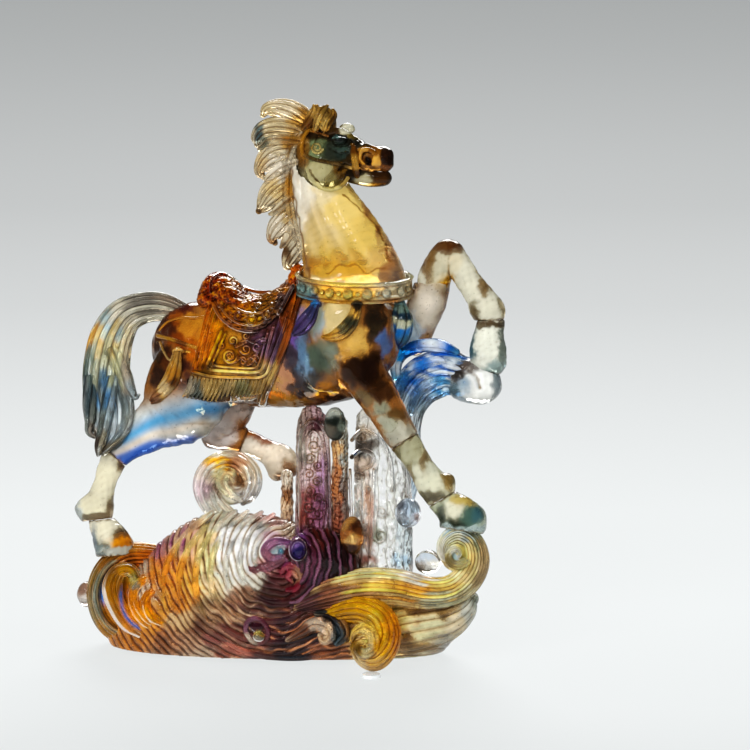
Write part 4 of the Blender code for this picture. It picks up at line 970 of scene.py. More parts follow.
SEA = [(128, 640, 18, 12, (166, 106, 36), 0.6), (150, 622, 14, 14, (184, 118, 32), 0.62), (166, 606, 8, 12, (196, 134, 44), 0.65), (170, 638, 14, 10, (140, 92, 54), 0.62),
       (172, 532, 22, 12, (196, 160, 130), 0.75), (160, 549, 9, 8, (150, 106, 112), 0.7), (190, 548, 16, 12, (214, 176, 100), 0.7),
       (168, 572, 14, 18, (196, 120, 24), 0.65), (188, 580, 14, 20, (206, 138, 40), 0.65), (180, 600, 14, 12, (170, 104, 28), 0.65),
       (206, 560, 10, 22, (232, 200, 130), 0.75), (214, 590, 8, 16, (206, 180, 130), 0.7), (214, 512, 14, 8, (226, 206, 176), 0.8),
       (240, 515, 16, 8, (230, 206, 190), 0.8), (268, 514, 14, 8, (206, 160, 156), 0.75), (232, 545, 14, 16, (234, 230, 218), 0.85),
       (252, 550, 12, 20, (230, 226, 212), 0.85), (226, 575, 12, 16, (228, 220, 200), 0.8), (246, 572, 10, 10, (222, 216, 200), 0.8),
       (258, 582, 8, 6, (222, 226, 208), 0.8), (262, 566, 12, 6, (166, 118, 118), 0.7), (268, 545, 12, 8, (196, 160, 176), 0.75),
       # the teal spot at (277, 550) is a painted highlight
       (277, 550, 6, 4, (130, 190, 206), 0.8), (240, 600, 14, 9, (120, 88, 66), 0.62), (222, 612, 14, 9, (150, 116, 84), 0.66),
       (206, 605, 10, 9, (110, 90, 62), 0.65), (180, 622, 12, 10, (190, 156, 110), 0.7), (196, 628, 12, 10, (96, 64, 46), 0.6),
       (185, 640, 16, 8, (176, 140, 110), 0.7), (208, 640, 8, 6, (130, 80, 74), 0.65), (228, 632, 14, 8, (90, 52, 46), 0.6),
       (246, 606, 16, 6, (96, 62, 56), 0.6), (272, 600, 16, 10, (54, 30, 34), 0.55), (270, 580, 12, 8, (70, 40, 44), 0.55),
       (284, 572, 10, 8, (110, 40, 56), 0.6), (290, 600, 14, 14, (70, 32, 34), 0.55), (262, 632, 14, 12, (80, 44, 44), 0.55),
       (285, 632, 14, 14, (50, 32, 40), 0.5), (238, 650, 16, 5, (150, 90, 76), 0.65), (262, 656, 14, 5, (70, 50, 50), 0.5), (290, 655, 20, 8, (30, 36, 44), 0.45),
       (315, 630, 18, 14, (44, 36, 44), 0.5), (318, 610, 16, 8, (84, 50, 40), 0.55), (330, 650, 20, 8, (130, 84, 56), 0.6),
       (335, 600, 18, 10, (110, 74, 40), 0.6), (345, 632, 14, 8, (190, 150, 96), 0.7), (340, 578, 16, 10, (190, 150, 80), 0.7),
       (360, 640, 12, 14, (210, 170, 96), 0.7), (410, 625, 30, 18, (226, 196, 140), 0.75), (450, 630, 20, 18, (210, 206, 190), 0.8)]
C = paint(MV, ((196, 176, 150), 0.75), SEA, warp=4, seed=5)
dk = 1 / (1 + np.exp(-((u - 236) * 0.5 + (v - 592)) / 6))
# painted shade in the valleys of the grooves; the dark plum of the lower front is its own colour, kept lighter on the
# ridges as a painted highlight
C = mix(C, (74, 42, 20), 0.6, 0.9 * val ** 1.4 * np.clip(calm, 0, 1))
C = mix(C, (34, 14, 18), 0.45, 0.72 * dk * (u < 352) * (1 - rid * 0.35))
streak = 0.5 + 0.5 * np.sin(D * 2 * math.pi / 11.2 + 2 * w1 + 1.0)
C = mix(C, (120, 66, 110), 0.6, 1.0 * streak ** 1.4 * np.exp(-(((u - 178) / 28) ** 2 + ((v - 542) / 20) ** 2)))
C = mix(C, (60, 40, 44), 0.6, 0.8 * (1 - streak) ** 5 * np.exp(-(((u - 196) / 34) ** 2 + ((v - 560) / 40) ** 2)))
C = mix(C, (178, 104, 116), 0.6, 0.7 * streak ** 3 * np.exp(-(((u - 268) / 18) ** 2 + ((v - 514) / 8) ** 2)))
C = mix(C, (206, 140, 90), 0.6, 0.6 * streak ** 8 * np.exp(-(((u - 305) / 50) ** 2 + ((v - 640) / 26) ** 2)))
C = mix(C, (196, 168, 140), 0.65, 0.45 * streak ** 5 * np.exp(-(((u - 238) / 26) ** 2 + ((v - 612) / 20) ** 2)))
pale = np.exp(-(((u - 236) / 36) ** 2 + ((v - 548) / 34) ** 2)) * (1 - dk)
C[:, 3] = C[:, 3] * (1 - pale) + 0.42 * pale
piece("sea_mound", MV2, MQ, C, "wave", ("wave_mound",))

OCEAN = ((206, 190, 160), 0.78)


def surf(u, v, lift=0.0, fallback=-50.0):
    d = mound.near(u, v)
    return np.where(np.isnan(d), fallback, d) + lift


def on_sea(rows, lift):
    R = np.array(rows, float)
    d = surf(R[:, 0], R[:, 1], lift)
    return [(a, b, dd, c, e) for (a, b, c, e), dd in zip(R, d)]


# wandering strands that stand proud of the mound
STRAND = [([(212, 512), (192, 530), (174, 552), (165, 575), (164, 596)], 4.6, (214, 160, 60)),
          ([(224, 512), (204, 530), (188, 552), (180, 575), (180, 598)], 4.4, (222, 168, 64)),
          ([(236, 511), (216, 530), (202, 550), (196, 574), (198, 600), (208, 622)], 4.4, (226, 196, 120)),
          ([(248, 511), (230, 526), (216, 548), (211, 574), (216, 600), (232, 622)], 4.2, (228, 216, 186)),
          ([(262, 512), (244, 526), (230, 548), (226, 570), (232, 594), (250, 612)], 4.2, (234, 230, 216)),
          ([(274, 514), (256, 528), (243, 548), (240, 568), (248, 588), (268, 602)], 4.2, (234, 230, 220)),
          ([(276, 526), (264, 534), (256, 548), (255, 562), (264, 576), (280, 586)], 3.8, (222, 206, 200)),
          ([(222, 640), (248, 652), (280, 657), (312, 656), (340, 650)], 4.0, (120, 70, 60)),
          ([(214, 620), (240, 636), (272, 642), (304, 638), (336, 622)], 4.0, (100, 60, 54)),
          ([(232, 612), (256, 620), (284, 620), (312, 608), (338, 596)], 3.8, (92, 54, 50)),
          ([(262, 600), (284, 602), (306, 594), (326, 584), (346, 578)], 3.6, (96, 54, 48))]
parts = []
for i, (path, r, colour) in enumerate(STRAND):
    rows = on_sea([(a, b, r * t, r * 0.8 * t) for (a, b), t in zip(path, [0.5] + [1.0] * (len(path) - 2) + [0.4])], 1.2)
    parts.append(wisp(rows, [s for s in SEA], (colour, 0.75), grooves=3, depth=0.2, seed=60 + i, ring=28, steps=8))
bundle("sea_strands", parts, "wave", ())

# eye of the whorl, ring bead, knots
# the teal spot at (278, 551) is a painted highlight
EYE = [(270, 548, 8, 5, (176, 130, 160), 0.75), (278, 551, 5, 4, (120, 190, 214), 0.8), (286, 546, 6, 5, (130, 90, 130), 0.7),
       (262, 556, 8, 5, (150, 104, 120), 0.7), (250, 562, 10, 6, (120, 80, 84), 0.65)]
parts = [wisp([(290, 543, -56, 3, 3), (280, 541, -55, 4, 4), (270, 544, -55, 5, 4), (265, 551, -55, 5, 4), (270, 558, -55, 5, 4), (280, 557, -56, 4, 4),
               (281, 551, -56, 3, 3)], EYE, ((160, 120, 150), 0.75), grooves=3, seed=81, ring=32, vein_and_groove_shade=(60, 30, 50)),
         wisp([(292, 552, -56, 4, 4), (282, 560, -55, 5, 4), (268, 567, -54, 6, 5), (252, 570, -52, 5, 4), (244, 566, -51, 2, 2)], EYE,
              ((150, 104, 116), 0.7), grooves=4, seed=82, ring=36, vein_and_groove_shade=(60, 34, 44))]
bundle("sea_eye", parts, "wave", ())

whorl = Field((276, 522, -86), (358, 612, -26), 0.9)
whorl.chain([(296, 556, -54, 14, 12), (310, 553, -56, 24, 19), (326, 556, -56, 26, 20), (342, 566, -55, 17, 18)], k=2)
whorl.chain([(318, 570, -54, 20, 18), (308, 588, -52, 16, 16), (296, 600, -50, 10, 12)], k=6)
V, Q = whorl.skin(2)
N = normals(V, Q)
d = np.hypot((V[:, 0] - 284) * 1.0, (V[:, 1] - 562) * 0.85) + 1.6 * waves(V, 26, 8, 2)
r, a = comb(d * 2 * math.pi / 5.4)
r2, a2 = comb(d * 2 * math.pi / 2.7)
V = V + N * (1.5 * r - 1.0 + 0.35 * r2)[:, None]
C = paint(V, ((74, 36, 32), 0.55), [(318, 538, 14, 10, (84, 36, 30), 0.55), (336, 556, 10, 18, (40, 22, 24), 0.5), (308, 560, 10, 20, (92, 46, 66), 0.6),
                                   (298, 590, 12, 10, (70, 34, 36), 0.55), (322, 580, 12, 10, (66, 40, 60), 0.55), (300, 540, 8, 8, (110, 70, 120), 0.6)],
          warp=2.5, seed=3)
C = mix(C, (150, 104, 130), 0.65, 0.75 * np.clip(np.sin(d * 2 * math.pi / 10.8), 0, 1) ** 4)
# painted shade in the valleys of the whorl's grooves
C = mix(C, (26, 14, 22), 0.5, 0.7 * a ** 1.5)
piece("centre_whorl_glass", V, Q, C, "wave", ("centre_whorl",))

BEAD = [(294, 544, 5, 5, (150, 120, 190), 0.7), (302, 555, 5, 5, (60, 46, 96), 0.6), (298, 550, 4, 4, (40, 40, 90), 0.6)]
ring_path = [(298 + 7.5 * math.cos(t), 550 + 9.5 * math.sin(t), -78 + 0.6 * math.cos(t), 2.3, 2.6) for t in np.linspace(0, 6.2, 20)]
parts = [wisp(ring_path, BEAD, ((110, 84, 150), 0.65), grooves=2, depth=0.1, seed=83, ring=24, steps=3)]
b = Field((288, 538, -86), (310, 562, -62), 0.7)
b.ball((298, 550, -74), (6.5, 8.5, 6.5), k=0)
V, Q = b.skin(1)
parts.append((V, Q, paint(V, ((70, 60, 130), 0.65), BEAD, warp=1)))
bundle("ring_bead_purple", parts, "relief", ())
KN = [(286, 572, 6, 5, (170, 80, 90), 0.65), (296, 578, 5, 6, (206, 150, 120), 0.7), (292, 586, 8, 6, (130, 40, 56), 0.6), (280, 566, 6, 5, (120, 60, 96), 0.6)]
parts = [wisp([(282, 572, -57, 3, 3), (288, 566, -60, 5, 4), (298, 568, -62, 6, 5), (303, 578, -62, 6, 5), (297, 588, -60, 5, 5), (288, 590, -58, 3, 3)], KN,
              ((130, 50, 66), 0.6), grooves=3, seed=84, ring=32, vein_and_groove_shade=(50, 16, 26)),
         wisp([(292, 582, -62, 2, 2), (288, 577, -62, 4, 4), (292, 572, -63, 4, 4), (297, 577, -63, 3, 3)], KN, ((170, 90, 100), 0.65), grooves=2,
              seed=85, ring=24, vein_and_groove_shade=(70, 26, 36))]
bundle("magenta_knot", parts, "wave", ())
oval = [(257 + 11 * math.cos(t) + 2 * math.sin(t), 631 + 12.5 * math.sin(t)) for t in np.linspace(-0.4, 5.9, 22)]
rows = on_sea([(a, b2, 3.2, 3.4) for a, b2 in oval], 0.5)
OV = [(248, 622, 6, 6, (120, 80, 96), 0.65), (266, 626, 6, 8, (90, 50, 60), 0.6), (250, 640, 6, 6, (196, 180, 160), 0.75), (262, 641, 8, 5, (96, 60, 60), 0.6)]
parts = [wisp(rows, OV, ((110, 70, 76), 0.65), grooves=2, depth=0.12, seed=86, ring=28, steps=3)]
b = Field((244, 614, -84), (272, 648, -30), 0.8)
cd = float(surf(258, 632)[0])
b.ball((257, 626, cd + 1), (8, 7, 4), k=0)
b.ball((259, 637, cd + 1), (7, 5.5, 4.5), k=1)
V, Q = b.skin(1)
parts.append((V, Q, paint(V, ((80, 40, 50), 0.6), [(257, 625, 8, 6, (90, 44, 60), 0.6), (262, 634, 6, 4, (226, 206, 110), 0.75),
                                                  (256, 640, 6, 4, (214, 220, 206), 0.8)], warp=1.5)))
bundle("sea_ring_knot", parts, "wave", ())

# the left breaker
LC = [(152, 560, 12, 7, (190, 110, 34), 0.65), (128, 562, 10, 6, (150, 90, 50), 0.65), (126, 568, 8, 4, (214, 206, 176), 0.75),
      (168, 566, 10, 8, (212, 146, 34), 0.65), (108, 566, 10, 8, (120, 84, 50), 0.6), (98, 585, 7, 14, (110, 92, 60), 0.6),
      (93, 610, 6, 14, (120, 110, 84), 0.65), (112, 600, 8, 20, (176, 120, 40), 0.65), (120, 590, 8, 14, (190, 130, 40), 0.65),
      (108, 625, 8, 12, (150, 110, 56), 0.65), (130, 622, 12, 10, (200, 126, 34), 0.65), (126, 640, 12, 6, (206, 150, 80), 0.7),
      (150, 640, 14, 6, (222, 176, 130), 0.75), (158, 628, 12, 8, (150, 90, 50), 0.6), (140, 575, 10, 8, (150, 104, 76), 0.65)]
V, Q, g = strands([(182, 566, -6, 8, 14), (168, 562, 2, 11, 18), (150, 556, 10, 13, 22), (126, 558, 16, 15, 26), (108, 574, 20, 16, 29),
                   (104, 598, 24, 17.5, 31), (116, 621, 26, 19, 31), (142, 632, 22, 17, 29), (160, 634, 16, 12, 22), (170, 632, 10, 6, 14)],
                  18, 0.12, 0.010, 8, 220, ALONG, 5)
C = paint(V, ((160, 112, 56), 0.65), LC, warp=2, seed=6)
rr = np.hypot((V[:, 0] - 132), (V[:, 1] - 596) * 0.92)
blue = np.exp(-((rr - 29.5) / 2.4) ** 2) * (V[:, 0] < 116) * np.exp(-((V[:, 1] - 587) / 17) ** 4)
C = mix(C, (40, 130, 236), 0.6, 1.0 * blue)
C = mix(C, (24, 30, 34), 0.5, 0.85 * np.exp(-((rr - 33.5) / 1.3) ** 2) * (V[:, 1] > 566) * (V[:, 0] < 122))
C = mix(C, (150, 170, 170), 0.7, 0.6 * np.exp(-((rr - 37.0) / 1.6) ** 2) * (V[:, 1] > 560) * (V[:, 0] < 125))
# painted shade in the valleys between the strands
C = mix(C, (60, 36, 16), 0.55, 0.75 * np.clip(g - 0.35, 0, 1) ** 1.2 * 1.5)
piece("left_curl_glass", V, Q, C, "wave", ("left_curl",))
LI = [(126, 572, 6, 4, (196, 150, 50), 0.7), (133, 578, 5, 6, (196, 190, 130), 0.75), (136, 586, 4, 5, (120, 130, 130), 0.65), (114, 590, 6, 14, (150, 110, 46), 0.6),
      (130, 606, 6, 16, (214, 140, 26), 0.65), (146, 590, 8, 12, (216, 140, 20), 0.65), (158, 590, 10, 6, (196, 120, 24), 0.6), (166, 606, 8, 10, (196, 140, 50), 0.65),
      (158, 603, 5, 5, (130, 80, 50), 0.6), (150, 618, 12, 7, (206, 146, 50), 0.65), (172, 616, 8, 10, (150, 120, 60), 0.65), (166, 584, 8, 6, (204, 136, 24), 0.65)]
parts = [wisp([(150, 638, -13, 5, 6), (130, 624, -15, 10, 11), (118, 606, -14, 11, 12), (112.5, 588, -13, 11, 12), (118, 573, -13, 9, 10), (129, 570, -13, 7.5, 8),
               (135, 577, -14, 6.5, 7), (132, 585, -14, 4, 4)], LI, ((176, 124, 46), 0.65), grooves=7, seed=87, ring=84, steps=8, vein_and_groove_shade=(56, 40, 20), dark=0.75),
         wisp([(166, 630, -18, 5, 6), (148, 622, -20, 8, 9), (136, 608, -20, 8, 9), (133, 594, -18, 7, 8), (140, 583, -16, 7, 8), (152, 579, -16, 7, 8),
               (166, 582, -20, 7, 8), (174, 592, -24, 7, 8)], LI, ((214, 140, 26), 0.65), grooves=6, seed=88, ring=72, steps=8, vein_and_groove_shade=(76, 42, 14), dark=0.75),
         wisp([(176, 574, -26, 5, 6), (181, 592, -28, 7, 8), (178, 610, -28, 8, 8), (166, 621, -27, 7.5, 8), (152, 617, -26, 7, 7), (146, 605, -25, 6.5, 7),
               (150, 595, -25, 6, 6), (160, 592, -26, 5.5, 6), (167, 600, -27, 5, 5), (162, 608, -27, 4, 4), (156, 605, -27, 3, 3)], LI,
              ((206, 140, 40), 0.65), grooves=5, seed=89, ring=60, steps=8, vein_and_groove_shade=(70, 44, 24), dark=0.75)]
V, Q, C = parts[0]
rr = np.hypot((V[:, 0] - 150), (V[:, 1] - 598) * 0.9)
parts[0] = (V, Q, mix(C, (60, 120, 220), 0.6, 0.95 * np.exp(-((rr - 29) / 2.0) ** 2) * (V[:, 1] > 583) * (V[:, 0] < 140)))
bk = Field((98, 556, -24), (188, 640, 30), 1.2)
bk.ball((134, 598, 6), (29, 34, 15), k=0)
bk.ball((130, 612, 9), (27, 24, 13), k=6)
bk.ball((158, 600, 0), (22, 22, 14), k=6)
V, Q = bk.skin(2)
parts.append((V, Q, paint(V, ((170, 104, 30), 0.4), [(*q[:5], 0.4) for q in LI], warp=2)))
bundle("left_inner_curls", parts, "wave", ("left_inner_curl",))

# stream and curl on the right
RS = [(340, 572, 20, 7, (214, 180, 110), 0.75), (385, 572, 24, 6, (224, 190, 120), 0.8), (420, 574, 16, 6, (216, 206, 180), 0.85), (370, 585, 24, 6, (214, 160, 56), 0.7),
      (410, 590, 24, 6, (196, 130, 34), 0.65), (360, 598, 24, 6, (130, 100, 66), 0.6), (400, 604, 22, 6, (150, 130, 80), 0.65), (440, 604, 18, 7, (126, 136, 116), 0.7),
      (445, 590, 14, 6, (210, 170, 80), 0.7), (470, 596, 10, 8, (150, 150, 120), 0.7), (482, 575, 6, 16, (126, 110, 80), 0.7), (472, 570, 8, 12, (150, 140, 90), 0.7),
      (486, 552, 5, 16, (150, 130, 90), 0.7), (476, 545, 7, 12, (90, 96, 70), 0.6), (470, 531, 10, 6, (130, 150, 150), 0.7), (452, 528, 10, 6, (150, 190, 206), 0.8),
      (446, 540, 8, 6, (190, 190, 150), 0.75), (462, 548, 7, 7, (196, 176, 110), 0.75), (442, 553, 5, 9, (196, 196, 176), 0.8), (455, 560, 7, 6, (170, 180, 170), 0.75),
      (466, 562, 6, 8, (214, 176, 96), 0.75), (456, 574, 10, 6, (226, 190, 120), 0.8), (330, 598, 14, 12, (110, 70, 50), 0.6), (310, 606, 14, 12, (60, 36, 40), 0.5)]
V, Q, g = strands([(300, 606, -50, 10, 12), (326, 596, -57, 18, 19), (362, 588, -62, 20, 22), (396, 588, -62, 19.5, 22), (428, 593, -61, 17, 21), (452, 590, -60, 16, 20),
                   (468, 577, -60, 16, 20), (475, 560, -60, 15, 20), (471, 543, -60, 13, 19), (459, 536, -60, 12, 18), (448, 541, -60, 10, 17),
                   (444, 551, -61, 7.5, 14), (447, 560, -62, 5, 10)],
                  27, 0.10, 0.006, 8, 300, ALONG, 8)
P, lit = astray(V, 6)
C = paint(P, ((214, 186, 120), 0.62), [(*q[:5], min(q[5], 0.64)) for q in RS], warp=2.5, seed=9)
C[:, :3] *= lit
# painted shade in the valleys between the strands
C = mix(C, (44, 34, 20), 0.55, 0.95 * np.clip(g - 0.35, 0, 1) ** 1.2 * 1.5)
CORE = [(450, 548, 5, 5, (206, 200, 160), 0.75), (456, 556, 4, 4, (150, 190, 206), 0.75), (462, 552, 5, 6, (216, 180, 100), 0.75), (448, 562, 5, 4, (120, 110, 70), 0.65),
        (462, 564, 6, 5, (226, 190, 120), 0.8)]
parts = [(V, Q, C)]
for k, (q0, thick) in enumerate(((13.5, 3.6), (9.0, 3.0))):
    rows = [(456.5 + q0 * (1 - 0.075 * t) * math.cos(-0.6 - 0.62 * t), 555 - q0 * (1 - 0.075 * t) * math.sin(0.6 + 0.62 * t) * -1.0, -78 - 0.25 * t, thick * (1 - 0.06 * t), thick)
            for t in range(0, 11)]
    parts.append(wisp(rows, CORE, ((196, 176, 120), 0.75), grooves=4, depth=0.2, seed=300 + k, ring=40, steps=5, vein_and_groove_shade=(50, 44, 30), dark=0.8))
cb = Field((436, 534, -84), (478, 576, -40), 0.9)
cb.ball((457, 555, -60), (17, 17, 17), k=0)
Vb, Qb = cb.skin(2)
parts.append((Vb, Qb, paint(Vb, ((190, 176, 120), 0.45), [(*q[:5], 0.45) for q in CORE], warp=2)))
bundle("right_stream_curl", parts, "wave", ("right_stream", "right_curl"))
RL = [(400, 620, 10, 14, (240, 210, 150), 0.88), (425, 628, 18, 12, (246, 226, 184), 0.92), (415, 612, 16, 5, (120, 84, 50), 0.65), (444, 610, 12, 6, (120, 96, 66), 0.65),
      (416, 624, 4, 3, (120, 60, 26), 0.6), (455, 625, 10, 14, (226, 210, 180), 0.88), (470, 612, 7, 14, (206, 212, 206), 0.9), (476, 602, 5, 8, (130, 146, 140), 0.8),
      (420, 648, 26, 5, (150, 124, 90), 0.75), (450, 642, 14, 6, (190, 190, 180), 0.85), (408, 640, 5, 8, (110, 76, 46), 0.65)]
V, Q, g = strands([(388, 634, -38, 20, 24), (404, 630, -41, 26, 28), (424, 625, -42, 26, 28), (446, 618, -42, 23, 26), (463, 608, -41, 16, 21), (471, 599, -40, 8, 14)],
                  15, 0.10, 0.012, 10, 240, ALONG, 12)
C = paint(V, ((246, 224, 176), 0.6), [(*q[:5], min(q[5], 0.62)) for q in RL], warp=3, seed=10)
# painted shade in the valleys between the strands
C = mix(C, (84, 62, 36), 0.66, 0.8 * np.clip(g - 0.4, 0, 1) ** 1.2 * 1.5)
piece("right_lobe_glass", V, Q, C, "wave", ("right_lobe",))
FC = [(352, 608, 12, 6, (200, 150, 60), 0.7), (372, 606, 14, 6, (222, 160, 40), 0.7), (388, 620, 9, 12, (206, 136, 20), 0.65), (395, 640, 7, 14, (190, 120, 16), 0.65),
      (376, 622, 9, 9, (228, 190, 96), 0.75), (366, 638, 8, 10, (236, 206, 140), 0.8), (384, 645, 8, 12, (216, 160, 60), 0.7), (356, 648, 5, 8, (110, 90, 50), 0.6),
      (366, 650, 5, 5, (190, 190, 160), 0.75), (378, 662, 10, 7, (206, 170, 110), 0.75), (360, 664, 7, 7, (196, 180, 150), 0.75), (370, 674, 12, 4, (214, 170, 100), 0.8),
      (400, 655, 5, 12, (196, 150, 90), 0.75)]
parts = [wisp([(318, 620, -52, 6, 8), (334, 614, -60, 11, 15), (350, 610, -66, 14, 19), (366, 611, -74, 15, 22), (380, 619, -79, 16, 24), (386, 634, -81, 15.5, 25),
               (383, 648, -82, 15, 25), (374, 658, -83, 14, 24), (364, 657, -84, 10, 20), (358, 648, -86, 8, 16)], FC, ((214, 160, 60), 0.72), grooves=15,
              depth=0.11, seed=90, ring=190, steps=8, vein_and_groove_shade=(90, 56, 14), dark=0.75),
         wisp([(352, 640, -88, 3, 5), (356, 632, -94, 5, 7), (365, 629, -98, 7, 8), (373, 636, -101, 7, 8), (374, 647, -103, 6.5, 7), (367, 654, -104, 6, 6), (359, 651, -103, 5, 5),
               (359, 644, -102, 4, 4), (365, 642, -102, 3, 3)], FC, ((226, 190, 110), 0.78), grooves=4, seed=91, ring=48, steps=8, vein_and_groove_shade=(90, 60, 26))]
bundle("front_curl_glass", parts, "wave", ("front_curl",))
SS = [(316, 626, 8, 6, (222, 196, 170), 0.75), (326, 636, 6, 8, (226, 190, 150), 0.75), (338, 630, 6, 8, (40, 60, 70), 0.55), (332, 620, 8, 4, (40, 34, 34), 0.5),
      (302, 634, 10, 5, (110, 76, 60), 0.6), (346, 626, 8, 8, (150, 110, 66), 0.65), (332, 640, 4, 5, (90, 110, 120), 0.65)]
parts = [wisp([(288, 640, -57, 3, 4), (302, 632, -62, 6, 8), (314, 625, -66, 8, 10), (325, 627, -70, 9, 11), (330, 635, -71, 7.5, 10), (324, 641, -70, 5, 7), (320, 636, -70, 3, 4)], SS,
              ((206, 170, 140), 0.7), grooves=5, seed=92, ring=60, steps=8, vein_and_groove_shade=(40, 26, 26)),
         wisp([(318, 614, -60, 4, 6), (330, 616, -66, 7, 9), (340, 624, -69, 9, 10), (344, 634, -68, 8, 9), (338, 642, -66, 5, 6)], SS, ((60, 62, 60), 0.6), grooves=6, depth=0.2,
              seed=93, ring=72, steps=8, vein_and_groove_shade=(16, 18, 20), dark=0.8)]
bundle("small_scroll_glass", parts, "wave", ("small_scroll_front",))

# the curl that stands behind
RC = [(232, 520, 14, 10, (226, 206, 180), 0.8), (206, 505, 8, 8, (226, 218, 206), 0.88), (200, 490, 7, 10, (196, 176, 186), 0.85), (204, 472, 8, 8, (206, 190, 180), 0.85),
      (216, 461, 12, 4, (214, 140, 40), 0.7), (230, 466, 6, 4, (70, 40, 16), 0.55), (222, 472, 10, 5, (232, 206, 160), 0.8), (240, 462, 8, 5, (190, 140, 110), 0.75),
      (252, 470, 6, 8, (200, 190, 170), 0.88), (256, 486, 6, 12, (226, 224, 214), 0.92), (246, 495, 8, 8, (232, 232, 224), 0.92), (240, 480, 5, 6, (150, 120, 90), 0.75)]
parts = [wisp([(240, 534, -6, 12, 14), (226, 518, -2, 12, 15), (211, 503, 4, 12, 17), (204, 487, 7, 11.5, 18), (208, 472, 8, 11.5, 19), (220, 463, 8, 11.5, 19), (235, 462, 8, 12, 19),
               (248, 471, 8, 12, 19), (252, 484, 8, 10.5, 17), (248, 496, 7, 8, 12), (243, 503, 6, 3, 5)], RC, ((222, 210, 192), 0.88), grooves=11, depth=0.10, seed=94, ring=140,
              steps=8, vein_and_groove_shade=(96, 70, 50), dark=0.75),
         wisp([(240, 500, -14, 3, 3), (228, 492, -14, 5, 6), (221, 482, -14, 6, 7), (224, 473, -14, 6, 7), (232, 474, -14, 5, 6), (234, 481, -14, 3, 3)], RC,
              ((232, 214, 180), 0.82), grooves=4, seed=95, ring=48, steps=8, vein_and_groove_shade=(90, 60, 36)),
         wisp([(216, 510, -10, 4, 5), (210, 498, -11, 6, 7), (208, 486, -11, 6, 7), (214, 477, -12, 5, 6), (221, 479, -12, 3, 3)], RC, ((214, 200, 186), 0.85), grooves=4,
              seed=96, ring=48, steps=8, vein_and_groove_shade=(84, 66, 60))]
rb = Field((204, 462, -10), (260, 512, 22), 0.9)
rb.ball((231, 486, 6), (21, 20, 9), k=0)
V, Q = rb.skin(3)
C = paint(V, ((216, 206, 186), 0.75), RC, warp=4, seed=98)
curve = np.abs((V[:, 0] - 232) * 0.5 + (V[:, 1] - 486) - 7 * np.sin((V[:, 0] - 232) * 0.16) - 2.5 * waves(V, 14, 6, 2))
C = mix(C, (92, 60, 34), 0.6, 0.9 * np.exp(-(curve / 1.6) ** 2))
C = mix(C, (110, 80, 56), 0.6, 0.7 * np.exp(-((curve - 9) / 1.2) ** 2))
V = V + normals(V, Q) * (1.2 * np.exp(-((curve - 4.5) / 2.4) ** 2) - 0.6)[:, None]
parts.append((V, Q, C))
bundle("rear_curl_glass", parts, "wave", ("rear_curl",))

# ---- pillars, splash and drops -------------------------------------------------------------
def scroll(u, v, d, r, turns=1.5, thick=1.5, hand=1, start=0.0):
    """A small raised scroll."""
    out = []
    for i in range(int(10 * turns) + 1):
        t = i / 10.0
        a = start + hand * t * 2 * math.pi
        q = r * (1 - 0.75 * t / turns)
        out.append((u + q * math.cos(a), v + q * math.sin(a), d, thick * (1 - 0.4 * t / turns), thick * (1 - 0.4 * t / turns)))
    return out


def column(name, field_rows, lo, hi, h, k, flute, spots, base, nodes, reliefs, seed, mat="relief", vein_and_groove_shade=(60, 30, 40), amp=1.0, top=None, rough=0.8, lines=0.5):
    f = Field(lo, hi, h)
    f.chain(field_rows, k=k)
    if top:
        top(f)
    V, Q = f.skin(2)
    N = normals(V, Q)
    wob = 2.2 * waves(V, 34, seed, 2)
    ph = (V[:, 0] + wob) * 2 * math.pi / flute
    r, a = comb(ph)
    crinkle = waves(V, 9, seed + 3, 3)
    V2 = V + N * (amp * (0.9 * r - 0.6) + amp * rough * crinkle)[:, None]
    C = paint(V, base, spots, warp=3, seed=seed)
    # painted shade in the valleys of the flutes and the dips of the crinkle
    C = mix(C, vein_and_groove_shade, 0.6, lines * a ** 1.5 + 0.7 * lines * np.clip(-crinkle - 0.2, 0, 1))
    if reliefs:
        # painted shade along both sides of the raised reliefs
        C = cord_shade(V2, Q, C, reliefs, 1.6, vein_and_groove_shade, 0.75, 1.6)
    parts = [(V2, Q, C)]
    for i, rows in enumerate(reliefs):
        R = np.array(rows, float)
        d = f.near(R[:, 0], R[:, 1])
        d = np.where(np.isnan(d), R[:, 2], d - 0.3)
        parts.append(wisp([(p[0], p[1], dd, p[3], p[4]) for p, dd in zip(rows, d)], spots, base, grooves=2, depth=0.12, seed=seed + 10 + i, ring=22, steps=4, vein_and_groove_shade=vein_and_groove_shade,
                          dark=0.5))
    bundle(name, parts, mat, nodes)
    return f


